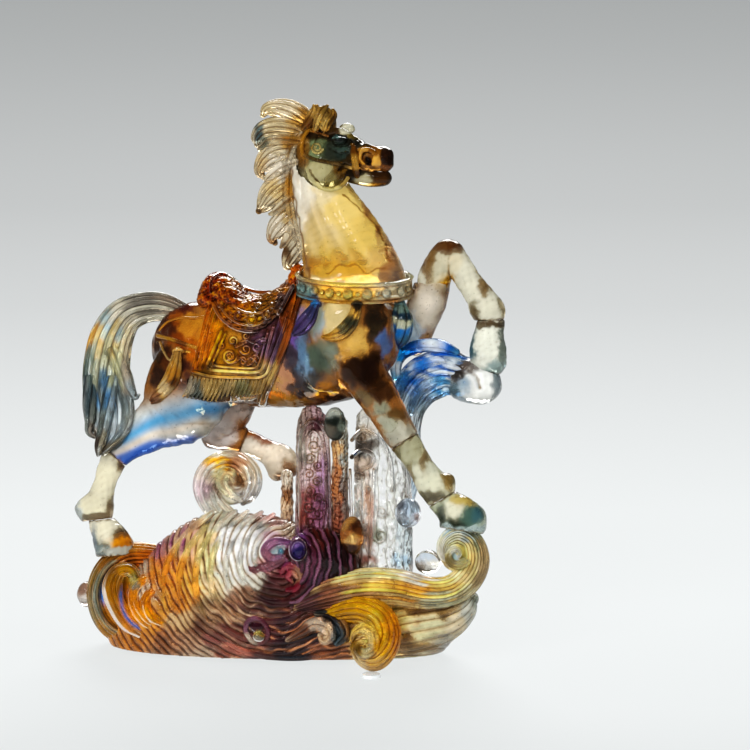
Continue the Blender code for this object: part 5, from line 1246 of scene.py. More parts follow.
LP = [(306, 425, 6, 14, (120, 104, 100), 0.7), (316, 424, 8, 5, (70, 44, 50), 0.6), (303, 445, 4, 30, (130, 130, 120), 0.7), (312, 448, 7, 12, (226, 206, 200), 0.8),
      (324, 440, 4, 14, (216, 190, 190), 0.8), (308, 475, 8, 14, (210, 186, 190), 0.78), (322, 470, 5, 14, (170, 140, 176), 0.74), (310, 492, 8, 8, (120, 66, 60), 0.6),
      (320, 495, 6, 8, (130, 96, 130), 0.65), (306, 512, 8, 10, (110, 60, 50), 0.6), (320, 515, 8, 12, (120, 84, 110), 0.62), (328, 480, 3, 50, (150, 140, 150), 0.75),
      (298, 470, 3, 50, (130, 120, 116), 0.75), (312, 540, 14, 12, (70, 36, 40), 0.55), (300, 540, 8, 10, (100, 70, 110), 0.6)]
rel = [[(301, 530, -52, 2.2, 2.2), (300, 490, -52, 2.2, 2.2), (300, 450, -52, 2.2, 2.2), (303, 430, -50, 2.3, 2.3), (313, 420, -50, 2.3, 2.3), (324, 430, -50, 2.3, 2.3),
        (328, 450, -52, 2.2, 2.2), (329, 490, -52, 2.2, 2.2), (330, 530, -52, 2.2, 2.2)],
       [(306, 500, -52, 1.6, 1.6), (305, 460, -52, 1.6, 1.6), (307, 438, -52, 1.6, 1.6), (313, 430, -51, 1.6, 1.6), (320, 438, -52, 1.6, 1.6), (323, 460, -52, 1.6, 1.6),
        (324, 500, -52, 1.6, 1.6)]]
for (su, sv, sr, hand, st) in ((314, 446, 6.5, 1, 0.5), (310, 458, 5.5, -1, 2.0), (318, 466, 5, 1, 1.0), (309, 474, 5.5, 1, 3.0), (317, 482, 5, -1, 0.0),
                               (310, 491, 5.5, -1, 1.5), (319, 498, 5, 1, 2.6), (309, 507, 5.5, 1, 0.3), (318, 514, 5.5, -1, 2.1), (310, 522, 5, 1, 1.1)):
    rel.append(scroll(su, sv, -52, sr, 1.4, 1.3, hand, st))
column("left_pillar_glass", [(312, 417, -34, 12, 12), (313, 428, -34, 16, 15), (313, 460, -34, 17, 16), (313, 500, -34, 17, 17), (313, 543, -36, 19, 20)],
       (288, 400, -62), (340, 570, -4), 0.9, 2, 6.0, LP, ((176, 150, 160), 0.74), ("left_pillar",), rel, 31, rough=0.5)
MR = [(341, 425, 5, 12, (196, 200, 190), 0.82), (338, 450, 4, 12, (196, 150, 100), 0.75), (345, 455, 4, 20, (150, 160, 160), 0.8), (337, 480, 4, 20, (150, 96, 60), 0.65),
      (345, 500, 4, 20, (110, 100, 96), 0.7), (338, 520, 5, 20, (110, 66, 50), 0.6), (344, 545, 6, 14, (60, 40, 40), 0.55)]
column("middle_rib_glass", [(340, 424, -33, 8, 9), (340, 450, -33, 8, 10), (340, 500, -33, 8.5, 11), (342, 556, -35, 10, 12)],
       (326, 406, -54), (356, 576, -14), 0.8, 2, 5.0, MR, ((170, 150, 130), 0.75), ("middle_rib",), [], 32)
RP = [(360, 418, 12, 8, (196, 190, 180), 0.85), (372, 412, 10, 6, (150, 130, 110), 0.75), (362, 432, 10, 6, (150, 130, 110), 0.75), (368, 446, 12, 5, (70, 62, 56), 0.6),
      (357, 455, 8, 5, (60, 54, 50), 0.55), (364, 464, 10, 5, (176, 150, 130), 0.78), (358, 474, 8, 5, (120, 100, 86), 0.68), (366, 482, 8, 6, (206, 190, 176), 0.8),
      (356, 500, 8, 22, (232, 226, 216), 0.9), (368, 505, 3, 26, (206, 150, 120), 0.8), (372, 530, 3, 26, (170, 130, 120), 0.78), (384, 480, 9, 40, (236, 236, 230), 0.95),
      (378, 535, 6, 8, (130, 136, 120), 0.75), (398, 470, 8, 40, (232, 234, 230), 0.95), (384, 555, 12, 14, (232, 232, 226), 0.95), (402, 540, 7, 20, (196, 214, 226), 0.92),
      (360, 545, 6, 16, (130, 110, 104), 0.7), (368, 560, 8, 5, (120, 60, 44), 0.65), (392, 500, 5, 20, (206, 204, 192), 0.9), (400, 560, 8, 6, (150, 190, 226), 0.9)]
rel = [[(350, 470, -52, 1.8, 1.8), (351, 500, -52, 1.8, 1.8), (352, 520, -52, 1.8, 1.8)], [(363, 476, -54, 2.2, 2.2), (364, 500, -54, 2.0, 2.0), (363, 522, -54, 1.8, 1.8)],
       [(352, 440, -52, 2.2, 2.2), (362, 430, -53, 2.4, 2.4), (374, 434, -54, 2.4, 2.4), (384, 444, -55, 2.2, 2.2), (391, 462, -55, 2.2, 2.2), (393, 490, -55, 2, 2)],
       [(352, 457, -52, 2.6, 2.6), (362, 450, -54, 2.8, 2.8), (373, 455, -55, 2.6, 2.6), (371, 466, -55, 2.2, 2.2), (360, 470, -55, 2.2, 2.2)],
       [(374, 470, -56, 2, 2), (373, 500, -56, 2, 2), (372, 530, -56, 2, 2), (370, 556, -56, 2, 2)],
       [(404, 462, -50, 2, 2), (407, 480, -49, 2, 2), (407, 496, -49, 2, 2)],
       scroll(362, 438, -52, 6, 1.3, 1.6, 1, 1.0), scroll(359, 476, -54, 5.5, 1.4, 1.5, -1, 0.4), scroll(368, 490, -54, 4.5, 1.2, 1.2, 1, 2.0),
       scroll(382, 512, -56, 6, 1.3, 1.2, 1, 0.5), scroll(380, 536, -56, 7, 1.3, 1.4, -1, 2.5)]
column("right_pillar_glass", [(374, 416, -28, 18, 12), (379, 436, -28, 24, 16), (382, 470, -28, 28, 18), (383, 520, -28, 29, 20), (384, 568, -30, 29, 22)],
       (346, 400, -62), (420, 594, 4), 1.0, 3, 9.0, RP, ((232, 234, 230), 0.9), ("right_pillar",), rel, 33, "clear", (52, 44, 38), 1.1, rough=0.45, lines=0.8)
SR = [(286, 480, 5, 8, (206, 190, 170), 0.8), (288, 495, 5, 8, (110, 76, 50), 0.65), (284, 510, 4, 10, (190, 160, 130), 0.75), (290, 525, 5, 8, (90, 60, 50), 0.6),
      (284, 532, 5, 6, (206, 190, 200), 0.8), (292, 470, 3, 10, (96, 70, 50), 0.65)]
column("side_rib_glass", [(287, 476, 8, 6, 8), (287, 510, 0, 6, 9), (287, 540, -10, 8, 10)], (276, 464, -26), (300, 556, 22), 0.7, 1, 4.0, SR,
       ((190, 160, 130), 0.75), ("side_rib",), [], 34)

# the splash between the forelegs
SP = [(400, 352, 12, 6, (60, 150, 220), 0.75), (416, 352, 14, 6, (30, 110, 200), 0.7), (430, 350, 12, 6, (236, 240, 244), 0.6), (446, 352, 14, 6, (30, 70, 130), 0.6),
      (404, 366, 12, 5, (236, 240, 242), 0.6), (420, 366, 12, 5, (60, 120, 190), 0.7), (440, 366, 14, 6, (226, 232, 236), 0.7), (398, 380, 10, 8, (130, 180, 216), 0.8),
      (412, 384, 10, 8, (40, 96, 160), 0.7), (426, 380, 10, 8, (214, 224, 228), 0.85), (440, 384, 10, 8, (120, 170, 206), 0.8), (402, 400, 9, 10, (216, 226, 230), 0.92),
      (416, 402, 8, 10, (150, 176, 196), 0.85), (414, 420, 8, 12, (230, 234, 234), 0.94), (422, 412, 5, 14, (150, 160, 160), 0.85), (410, 445, 8, 16, (232, 236, 238), 0.95),
      (418, 440, 5, 20, (222, 230, 234), 0.94), (408, 475, 8, 16, (216, 230, 242), 0.94), (404, 500, 8, 12, (216, 230, 242), 0.95), (392, 350, 8, 8, (120, 150, 80), 0.75),
      (456, 356, 8, 8, (96, 130, 150), 0.7), (460, 378, 10, 10, (226, 232, 232), 0.7), (450, 390, 12, 6, (150, 190, 216), 0.8)]
V, Q, g = strands([(404, 508, -4, 8, 9), (409, 484, -6, 9.5, 10), (412, 458, -8, 10.5, 11), (408, 430, -12, 13, 12), (409, 404, -18, 19, 14), (422, 382, -26, 24, 16),
                   (444, 373, -36, 23.5, 18), (461, 376, -41, 21, 18.5)], 17, 0.15, 0.012, 9, 200, ALONG, 14)
C = paint(V, ((206, 216, 222), 0.85), SP, warp=3, seed=12)
st = 0.5 + 0.5 * np.sin((V[:, 1] - 0.25 * V[:, 0] + 3 * waves(V, 22, 4, 1)) * 2 * math.pi / 12.0)
top = 1 / (1 + np.exp((V[:, 1] - 392) / 6))
C = mix(C, (14, 84, 170), 0.65, 0.95 * st ** 2 * top)
C = mix(C, (246, 248, 248), 0.55, 0.8 * (1 - st) ** 3 * top)
# painted shade in the valleys between the strands
C = mix(C, (40, 58, 74), 0.6, 0.9 * np.clip(g - 0.35, 0, 1) ** 1.2 * 1.5)
bundle("splash_wave_glass", [(V, Q, C),
       wisp([(396, 376, -28, 5, 5), (396, 362, -34, 7, 6), (404, 352, -38, 7, 6), (420, 346, -42, 7, 6), (440, 346, -46, 7, 6), (456, 352, -49, 4, 4)],
            SP, ((60, 130, 210), 0.7), grooves=5, seed=97, ring=56, steps=8, vein_and_groove_shade=(20, 40, 80)),
       wisp([(398, 396, -30, 5, 5), (404, 380, -36, 7, 6), (418, 368, -41, 7, 6), (436, 362, -46, 7, 6), (452, 364, -50, 5, 5)],
            SP, ((230, 236, 240), 0.7), grooves=5, seed=98, ring=56, steps=8, vein_and_groove_shade=(60, 90, 130)),
       wisp([(412, 412, -32, 4, 5), (416, 396, -37, 6, 6), (428, 384, -43, 7, 6), (444, 380, -49, 6, 6), (456, 384, -53, 3, 4)],
            SP, ((150, 190, 220), 0.75), grooves=5, seed=99, ring=56, steps=8, vein_and_groove_shade=(40, 70, 110))],
       "wave", ("splash_wave",))
tip = Field((440, 350, -74), (512, 418, -12), 0.9)
tip.chain([(466, 380, -44, 22, 19.5), (480, 384, -46, 21, 20), (486, 385, -47, 16, 17)], k=2)
tip.chain([(448, 372, -60, 3, 6), (462, 368, -64, 3.4, 6), (476, 376, -68, 3, 6), (480, 388, -68, 2, 5)], k=3, carve=True)
V, Q = tip.skin(3)
V = V + normals(V, Q) * (0.4 * waves(V, 16, 9, 2))[:, None]
C = paint(V, ((226, 228, 226), 0.5), [(478, 385, 14, 14, (240, 242, 238), 0.45), (458, 372, 7, 8, (50, 44, 40), 0.55), (468, 368, 8, 4, (96, 84, 76), 0.6),
                                     (454, 392, 7, 8, (90, 110, 120), 0.6), (498, 380, 4, 16, (96, 110, 116), 0.65), (484, 402, 14, 4, (150, 156, 156), 0.65),
                                     (466, 384, 6, 7, (150, 180, 200), 0.7), (460, 400, 8, 5, (196, 210, 216), 0.75)], warp=2.5, seed=4)
piece("splash_tip_glass", V, Q, C, "smooth", ("splash_tip",))

# drops of glass
def drop(name, u, v, d, ru, rv, rd, spots, base, nodes, mat="clear"):
    f = Field((u - ru - 4, v - rv - 4, d - rd - 4), (u + ru + 4, v + rv + 4, d + rd + 4), 0.7)
    f.ball((u, v, d), (ru, rv, rd), k=0)
    V, Q = f.skin(2)
    V = V + normals(V, Q) * (0.35 * waves(V, 12, int(u), 2))[:, None]
    piece(name, V, Q, paint(V, base, spots, warp=1.5, seed=int(v)), mat, nodes)


drop("droplet_amber_glass", 352, 536, -64, 12, 20, 11, [(346, 522, 6, 6, (214, 160, 96), 0.8), (354, 526, 8, 5, (60, 34, 20), 0.55), (346, 534, 6, 5, (150, 100, 60), 0.65),
     (354, 540, 7, 5, (220, 176, 110), 0.8), (348, 550, 8, 5, (50, 26, 16), 0.55), (360, 536, 4, 14, (120, 76, 40), 0.65)], ((180, 124, 74), 0.7), ("droplet_amber",))
drop("droplet_top_glass", 335, 424, -56, 11, 17, 10, [(332, 412, 8, 5, (206, 214, 206), 0.85), (334, 420, 6, 8, (30, 36, 32), 0.5), (342, 424, 4, 12, (120, 130, 120), 0.75),
     (330, 432, 6, 6, (96, 90, 80), 0.65), (338, 436, 6, 5, (50, 56, 50), 0.55)], ((110, 116, 106), 0.7), ("droplet_top",))
drop("droplet_clear_glass", 408, 513, -54, 13.5, 14.5, 13, [(401, 503, 4, 5, (60, 60, 64), 0.6), (411, 507, 6, 7, (196, 220, 246), 0.92), (416, 517, 3, 4, (110, 90, 84), 0.7),
     (400, 521, 4, 4, (110, 116, 120), 0.7), (410, 521, 6, 5, (206, 226, 248), 0.94)], ((230, 234, 238), 0.96), ("droplet_clear",))
drop("droplet_small_glass", 428, 562, -52, 13, 12, 11, [(424, 556, 8, 5, (206, 220, 236), 0.95), (432, 566, 6, 5, (226, 220, 206), 0.95), (420, 566, 4, 6, (130, 120, 110), 0.85)],
     ((230, 232, 230), 0.95), ("droplet_small",))
drop("pebble_left_glass", 87, 594, 34, 10, 13, 12, [(82, 590, 5, 6, (120, 96, 84), 0.7), (86, 600, 6, 5, (206, 196, 186), 0.85), (90, 586, 5, 5, (150, 120, 100), 0.75)],
     ((170, 150, 136), 0.8), ("pebble_left",))

# ---- tack ---------------------------------------------------------------------------------
def resample(src, dst):
    """The distances of one field on the grid of another."""
    A = src.F
    for i in range(3):
        x = (dst.ax[i] - src.lo[i]) / src.h
        k = np.clip(np.floor(x).astype(int), 0, A.shape[i] - 2)
        f = np.clip(x - k, 0, 1).astype(np.float32)
        shape = [1, 1, 1]
        shape[i] = -1
        f = f.reshape(shape)
        A = np.take(A, k, i) * (1 - f) + np.take(A, k + 1, i) * f
    return A


def inside_of(u, v, poly):
    """Signed distance to an outline, negative inside."""
    P = np.array(poly, float)
    best = np.full(u.shape, 1e9)
    odd = np.zeros(u.shape, bool)
    for a, b in zip(P, np.roll(P, -1, 0)):
        e = b - a
        t = np.clip(((u - a[0]) * e[0] + (v - a[1]) * e[1]) / (e @ e), 0, 1)
        best = np.minimum(best, np.hypot(u - a[0] - t * e[0], v - a[1] - t * e[1]))
        odd ^= ((a[1] > v) != (b[1] > v)) & (u < e[0] * (v - a[1]) / (e[1] if e[1] else 1e-9) + a[0])
    return np.where(odd, -best, best)


def cloth(outline, lo, hi, h, t0, t1, under, both=True, soft=1.2):
    """A skin of glass that follows what lies under it, within an outline on the near side, mirrored to
    the far side when both."""
    f = Field(lo, hi, h)
    B = resample(under, f)
    near = np.abs(B - (t0 + t1) / 2) < (t1 - t0) / 2 + 3 * h
    idx = np.argwhere(near)
    P = np.stack([f.ax[i][idx[:, i]] for i in range(3)], 1).astype(float)
    s = 0.5 * P[:, 0] + 0.866 * P[:, 2] - SIDE_MID
    far = s > 0
    if both:
        P[far] -= 2 * s[far, None] * np.array(SIDE)
    O = inside_of(P[:, 0], P[:, 1], outline)
    if not both:
        O[far] = 30
    val = np.maximum(np.maximum(B[near] - t1, t0 - B[near]), -smin(-O, -np.full_like(O, -30.0), 0))
    edge = np.maximum(O + soft, 0)
    val = np.maximum(val, B[near] - t1 + edge ** 2 / (soft * 1.4))
    F = np.full(f.F.shape, 20.0, np.float32)
    F[near] = val
    f.F = F
    return f


def lay(rows, field, lift, fallback=None):
    """Puts the depth of each row on the near skin of a field."""
    R = np.array(rows, float)
    d = field.near(R[:, 0], R[:, 1]) + lift
    ok = ~np.isnan(d)
    d = np.interp(np.arange(len(R)), np.flatnonzero(ok), d[ok]) if ok.any() else np.full(len(R), fallback)
    return [(a, b, dd, c, e) for (a, b, c, e), dd in zip(rows, d)]


def cord(path, r, r2=None):
    fine = catmull([(a, b, 0) for a, b in path], 4)[:, :2]
    return [(a, b, r, r2 or r) for a, b in fine]


TACK = [(206, 330, 8, 30, (226, 150, 34), 0.72), (196, 355, 8, 12, (196, 130, 40), 0.7), (214, 322, 8, 12, (240, 170, 40), 0.75), (222, 340, 8, 10, (216, 150, 50), 0.72),
        (236, 336, 10, 5, (226, 170, 90), 0.75), (236, 352, 14, 12, (150, 104, 40), 0.66), (228, 356, 9, 8, (206, 156, 70), 0.7), (250, 340, 10, 8, (96, 70, 76), 0.62),
        (262, 345, 8, 12, (104, 84, 124), 0.64), (270, 330, 6, 16, (130, 96, 110), 0.66), (276, 340, 6, 18, (92, 74, 112), 0.6), (256, 360, 10, 8, (150, 110, 70), 0.66),
        (208, 366, 8, 6, (110, 96, 60), 0.64), (236, 370, 26, 4, (226, 180, 100), 0.74), (262, 368, 8, 6, (190, 170, 120), 0.72), (202, 374, 12, 4, (110, 90, 50), 0.64),
        (236, 377, 26, 3, (170, 130, 70), 0.68), (286, 312, 6, 14, (150, 90, 50), 0.64), (284, 290, 8, 12, (216, 110, 24), 0.7), (200, 310, 8, 8, (150, 80, 30), 0.66)]
blanket = cloth([(205, 286), (300, 252), (296, 300), (290, 322), (282, 342), (275, 360), (267, 378), (240, 379.5), (212, 379), (190, 376), (195, 362), (201, 340), (205, 318)],
                (180, 250, -92), (312, 392, 84), 1.0, 0.35, 4.0, body)
V, Q = blanket.skin(2)
C = paint(V, ((206, 136, 50), 0.7), TACK, warp=2.5, seed=41)
st = 0.5 + 0.5 * np.sin((V[:, 0] + 0.32 * V[:, 1]) * 2 * math.pi / 6.5 + waves(V, 30, 5, 1))
C = mix(C, (120, 66, 20), 0.62, 0.75 * st ** 3 * np.exp(-(((V[:, 0] - 204) / 11) ** 2 + ((V[:, 1] - 340) / 32) ** 2)))
C = mix(C, (70, 40, 34), 0.6, 0.6 * st ** 3 * np.exp(-(((V[:, 0] - 272) / 12) ** 2 + ((V[:, 1] - 340) / 26) ** 2)))
BV0, BQ0, BC0 = V, Q, C
parts = []
LILAC, BRASS = ((150, 120, 130), 0.68), ((226, 176, 96), 0.72)
SKIN = blanket
GILT = [(*q[:4], tuple(min(250, int(c * 1.08 + 24)) for c in q[4]), 0.5) for q in TACK]
BORDER = [(193, 372), (212, 376.5), (240, 377.5), (264, 376), (272, 358), (280, 338), (287, 318)]
PANEL = [[(222, 330), (217, 342), (211, 356), (207, 366), (212, 370), (234, 371.5), (256, 372), (263, 367), (267, 352), (271, 336), (274, 326)],
         [(226, 333), (221, 344), (216, 356), (213, 363), (217, 366), (236, 367.5), (254, 368), (259, 363), (263, 350), (266, 338), (268, 331)]]
for k, (path, r) in enumerate(((BORDER, 1.6), (PANEL[0], 1.7), (PANEL[1], 1.1))):
    parts.append(wisp(lay(cord(path, r), SKIN, -0.3), GILT, BRASS, grooves=2, depth=0.12, seed=140 + k, ring=20, steps=2, vein_and_groove_shade=(40, 22, 8), dark=0.9))
flowers = [scroll(230, 356, 0, 8.0, 1.5, 1.5, 1, 0.0), scroll(229, 356, 0, 4.0, 1.1, 1.2, -1, 2.0), scroll(246, 349, 0, 6.0, 1.3, 1.3, -1, 3.0), scroll(257, 347, 0, 5.0, 1.2, 1.2, 1, 1.0),
           scroll(243, 361, 0, 4.5, 1.2, 1.2, 1, 4.0), scroll(255, 358, 0, 4.0, 1.2, 1.1, -1, 0.0), scroll(233, 341, 0, 5.0, 1.3, 1.2, -1, 1.0), scroll(222, 346, 0, 3.6, 1.2, 1.1, 1, 2.0),
           scroll(246, 336, 0, 3.6, 1.2, 1.0, 1, 0.0), scroll(264, 340, 0, 3.2, 1.1, 1.0, 1, 2.0)]
waves_rows = [[(236, 362), (241, 358), (246, 361), (251, 357), (257, 362)], [(240, 343), (247, 340), (253, 343), (260, 339), (266, 343)],
              [(236, 347), (243, 344), (249, 341)], [(248, 365), (253, 362), (258, 352), (262, 346)]]
for k, rows in enumerate(flowers):
    parts.append(wisp(lay([(r[0], r[1], r[3], r[4]) for r in rows], SKIN, -0.2), GILT, BRASS, grooves=2, depth=0.08, seed=150 + k, ring=16, steps=2, vein_and_groove_shade=(48, 24, 10), dark=0.9))
for k, path in enumerate(waves_rows):
    parts.append(wisp(lay(cord(path, 1.2), SKIN, -0.2), GILT, BRASS, grooves=2, depth=0.08, seed=170 + k, ring=16, steps=2, vein_and_groove_shade=(48, 24, 10), dark=0.9))
for k, x in enumerate((195, 199.5, 204)):       # pleats behind the panel
    path = [(x + 14, 306), (x + 8, 326), (x + 3, 348), (x - 2, 368)]
    parts.append(wisp(lay(cord(path, 1.5), SKIN, 0.1), TACK, ((240, 170, 50), 0.75), grooves=2, depth=0.1, seed=180 + k, ring=16, steps=2, vein_and_groove_shade=(110, 60, 14)))
for k, x in enumerate((276, 282)):
    path = [(x + 6, 312), (x + 1, 330), (x - 5, 350), (x - 11, 368)]
    parts.append(wisp(lay(cord(path, 1.5), SKIN, 0.1), TACK, ((150, 110, 120), 0.68), grooves=2, depth=0.1, seed=184 + k, ring=16, steps=2, vein_and_groove_shade=(60, 30, 30)))
# painted shade along both sides of the blanket's raised cords, scrolls, waves and pleats
C = cord_shade(BV0, BQ0, BC0, [BORDER, *PANEL], 1.3, (26, 12, 4), 1.0, 1.9)
C = cord_shade(BV0, BQ0, C, flowers + [cord(p, 1) for p in waves_rows], 0.9, (30, 14, 4), 1.0, 1.5)
C = cord_shade(BV0, BQ0, C, [[(x + 14, 306), (x + 8, 326), (x + 3, 348), (x - 2, 368)] for x in (195, 199.5, 204)], 1.5, (120, 60, 10), 0.8)
C = cord_shade(BV0, BQ0, C, [[(x + 6, 312), (x + 1, 330), (x - 5, 350), (x - 11, 368)] for x in (276, 282)], 1.5, (50, 26, 20), 0.85)
# painted shadow of the saddle skirt's rim on the blanket
C = cord_shade(BV0, BQ0, C, [[(210, 292), (213, 304), (220, 317), (231, 326.5), (243, 331), (256, 331), (268, 325), (278, 314), (286, 300), (293, 286)]], 4.0, (50, 26, 16), 0.8, 2.0)
parts.append((BV0, BQ0, C))
bundle("saddle_blanket_glass", parts, "relief", ("saddle_blanket",))

seat = Field((196, 252, -70), (318, 344, 72), 1.0)
seat.chain([(213, 296, 26, 14, 20), (222, 292, 23, 18, 26), (236, 300, 15, 14, 30), (252, 307, 6, 14.5, 31), (270, 308, -4, 15, 31),
            (286, 299, -12, 14, 27), (297, 284, -18, 10, 20)], k=2)
seat.chain([(218 + 0.5 * k, 282 + 0.030 * k * k, 22 + 0.866 * k, 9.5, 9) for k in (-24, -12, 0, 12, 24)], k=5)
seat.chain([(300 + 0.4 * k, 269 + 0.05 * k * k, -18 + 0.866 * k, 6.5, 6) for k in (-14, -7, 0, 7, 14)], k=5)
seat.chain([(254 + 0.5 * k, 283 + 0.004 * k * k, 4 + 0.866 * k, 14, 9) for k in (-30, 0, 30)], k=6, carve=True)
B = resample(body, seat)
seat.F = np.maximum(seat.F, 4.4 - B).astype(np.float32)
V, Q = seat.skin(2)
N = normals(V, Q)
crinkle = waves(V, 7, 8, 3)
V2 = V + N * (0.75 * crinkle)[:, None]
# the white spot at (232, 276) is a painted highlight on top of the cantle
SEAT = [(214, 284, 7, 12, (110, 52, 22), 0.62), (222, 276, 8, 5, (150, 74, 34), 0.66), (236, 284, 12, 5, (206, 150, 120), 0.78), (232, 276, 5, 4, (230, 226, 224), 0.9),
        (228, 296, 10, 10, (130, 74, 34), 0.62), (248, 296, 12, 8, (150, 84, 50), 0.64), (262, 294, 12, 5, (130, 80, 64), 0.64), (250, 306, 14, 6, (170, 110, 40), 0.68),
        (276, 296, 8, 6, (96, 66, 60), 0.62), (288, 290, 6, 12, (120, 80, 60), 0.64), (294, 276, 6, 10, (206, 116, 30), 0.7), (302, 266, 5, 6, (150, 84, 30), 0.66)]
C = paint(V, ((150, 90, 44), 0.66), SEAT, warp=2.5, seed=43)
# painted shade in the dips of the crinkle and a painted highlight on its bumps
C = mix(C, (54, 26, 14), 0.55, 0.7 * np.clip(-crinkle - 0.1, 0, 1) * 1.6)
C = mix(C, (226, 160, 70), 0.75, 0.55 * np.clip(crinkle - 0.25, 0, 1) * 1.8)
parts = [(V2, Q, C)]
parts.append(wisp(lay(cord([(211, 292), (212, 281), (219, 274), (228, 276), (240, 285), (254, 291), (272, 292), (286, 290), (296, 278), (302, 266)], 1.9), seat, 0.0), SEAT,
                  ((110, 60, 34), 0.64), grooves=2, depth=0.08, seed=190, ring=20, steps=2, vein_and_groove_shade=(50, 26, 14)))
bundle("saddle_seat_glass", parts, "relief", ("saddle",))

SKT = [(222, 303, 7, 6, (130, 90, 40), 0.64), (216, 310, 5, 10, (170, 110, 60), 0.68), (236, 310, 10, 8, (206, 140, 40), 0.7), (236, 322, 10, 6, (170, 110, 44), 0.68),
       (252, 320, 8, 6, (206, 160, 90), 0.72), (268, 314, 8, 7, (170, 130, 90), 0.7), (262, 304, 12, 6, (130, 96, 60), 0.66), (282, 306, 6, 10, (110, 96, 110), 0.66),
       (246, 329, 20, 3, (130, 110, 120), 0.7), (270, 322, 8, 5, (110, 100, 120), 0.68), (228, 324, 6, 4, (150, 110, 110), 0.7)]
skirt = cloth([(209, 294), (213, 304), (221, 318), (231, 327), (243, 331.5), (255, 331.5), (267, 326), (277, 316), (287, 300), (294, 286), (250, 294)],
              (200, 270, -92), (306, 342, 84), 1.0, 4.2, 8.6, body)
V, Q = skirt.skin(2)
crinkle = waves(V, 6, 18, 3)
V2 = V + normals(V, Q) * (0.7 * crinkle)[:, None]
C = paint(V, ((176, 120, 56), 0.68), SKT, warp=2.5, seed=44)
# painted shade in the dips of the crinkle
C = mix(C, (60, 34, 20), 0.55, 0.7 * np.clip(-crinkle - 0.1, 0, 1) * 1.6)
SV0, SQ0, SC0 = V2, Q, C
parts = []
RIM = [(210, 292), (213, 304), (220, 317), (231, 326.5), (243, 331), (256, 331), (268, 325), (278, 314), (286, 300), (293, 286)]
RIM2 = [(216, 293), (219, 303), (225, 313), (234, 321), (245, 325), (256, 325), (266, 319.5), (274, 310), (281, 298)]
ARC = [(222, 288), (227, 298), (236, 308), (248, 313), (262, 312), (276, 303)]
parts.append(wisp(lay(cord(RIM, 2.1, 2.4), skirt, 0.2), SKT, ((140, 116, 126), 0.68), grooves=2, depth=0.08, seed=191, ring=20, steps=2, vein_and_groove_shade=(60, 36, 36)))
parts.append(wisp(lay(cord(RIM2, 1.4), skirt, -0.2), SKT, ((206, 150, 90), 0.7), grooves=2, depth=0.08, seed=192, ring=16, steps=2, vein_and_groove_shade=(70, 44, 24)))
parts.append(wisp(lay(cord(ARC, 1.6), skirt, -0.3), SKT, ((216, 150, 60), 0.7), grooves=2, depth=0.08, seed=193, ring=16, steps=2, vein_and_groove_shade=(70, 44, 24)))
for k, (su, sv, sr) in enumerate(((222, 303, 4.6), (252, 320, 4.4), (267, 315, 3.8), (238, 316, 3.2))):
    ringp = [(su + sr * math.cos(t), sv + sr * math.sin(t), 1.3, 1.5) for t in np.linspace(0, 6.2, 14)]
    parts.append(wisp(lay(ringp, skirt, -0.6), SKT, ((206, 156, 90), 0.7), grooves=2, depth=0.06, seed=194 + k, ring=16, steps=2, vein_and_groove_shade=(70, 44, 24)))
    c = lay([(su, sv, 1, 1)], skirt, -0.3)[0]
    bb = Field((su - 5, sv - 5, c[2] - 5), (su + 5, sv + 5, c[2] + 5), 0.6)
    bb.ball((su, sv, c[2]), (sr * 0.55, sr * 0.55, 2.4), k=0)
    Vb, Qb = bb.skin(1)
    parts.append((Vb, Qb, paint(Vb, ((200, 140, 60), 0.7), SKT, warp=0)))
for k, sc in enumerate((scroll(234, 303, 0, 4, 1.2, 1.1, 1, 0), scroll(246, 318, 0, 3.2, 1.1, 1.0, -1, 1), scroll(259, 306, 0, 4, 1.2, 1.1, 1, 2), scroll(230, 314, 0, 3, 1.1, 1.0, -1, 3),
                        scroll(272, 305, 0, 3.2, 1.1, 1.0, 1, 1))):
    parts.append(wisp(lay([(r[0], r[1], r[3], r[4]) for r in sc], skirt, -0.2), SKT, BRASS, grooves=2, depth=0.08, seed=200 + k, ring=16, steps=2, vein_and_groove_shade=(48, 24, 10), dark=0.9))
# painted shade along both sides of the skirt's raised rims, arc and rings
C = cord_shade(SV0, SQ0, SC0, [RIM, RIM2, ARC], 1.8, w=0.95)
C = cord_shade(SV0, SQ0, C, [[(su + sr * math.cos(t), sv + sr * math.sin(t)) for t in np.linspace(0, 6.2, 14)]
                      for su, sv, sr in ((222, 303, 4.6), (252, 320, 4.4), (267, 315, 3.8), (238, 316, 3.2))], 1.2, w=0.9, soft=1.0)
parts.append((SV0, SQ0, C))
bundle("saddle_skirt_glass", parts, "relief", ("saddle_skirt_near",))

FR = [(195, 392, 8, 8, (96, 110, 110), 0.68), (210, 390, 8, 8, (226, 196, 130), 0.74), (226, 390, 8, 8, (190, 170, 120), 0.72), (242, 390, 8, 8, (150, 150, 110), 0.7),
      (256, 388, 8, 8, (190, 160, 100), 0.72), (188, 386, 6, 8, (206, 200, 180), 0.76)]
parts = []
for k, x in enumerate(np.arange(189.0, 266.0, 4.1)):
    low = 400.5 - 0.004 * (x - 222) ** 2
    path = [(x + 2.5, 377.0), (x + 1.2, 384.0), (x - 2.0, 392.0), (x - 6.0, low)]
    rows = [(a, b, r, r) for (a, b), r in zip(path, (1.5, 2.5, 2.5, 0.9))]
    parts.append(wisp(lay(rows, body, -2.6), FR, ((210, 176, 112), 0.72), grooves=3, depth=0.16, seed=210 + k, ring=24, steps=6, vein_and_groove_shade=(50, 34, 16), dark=0.8))
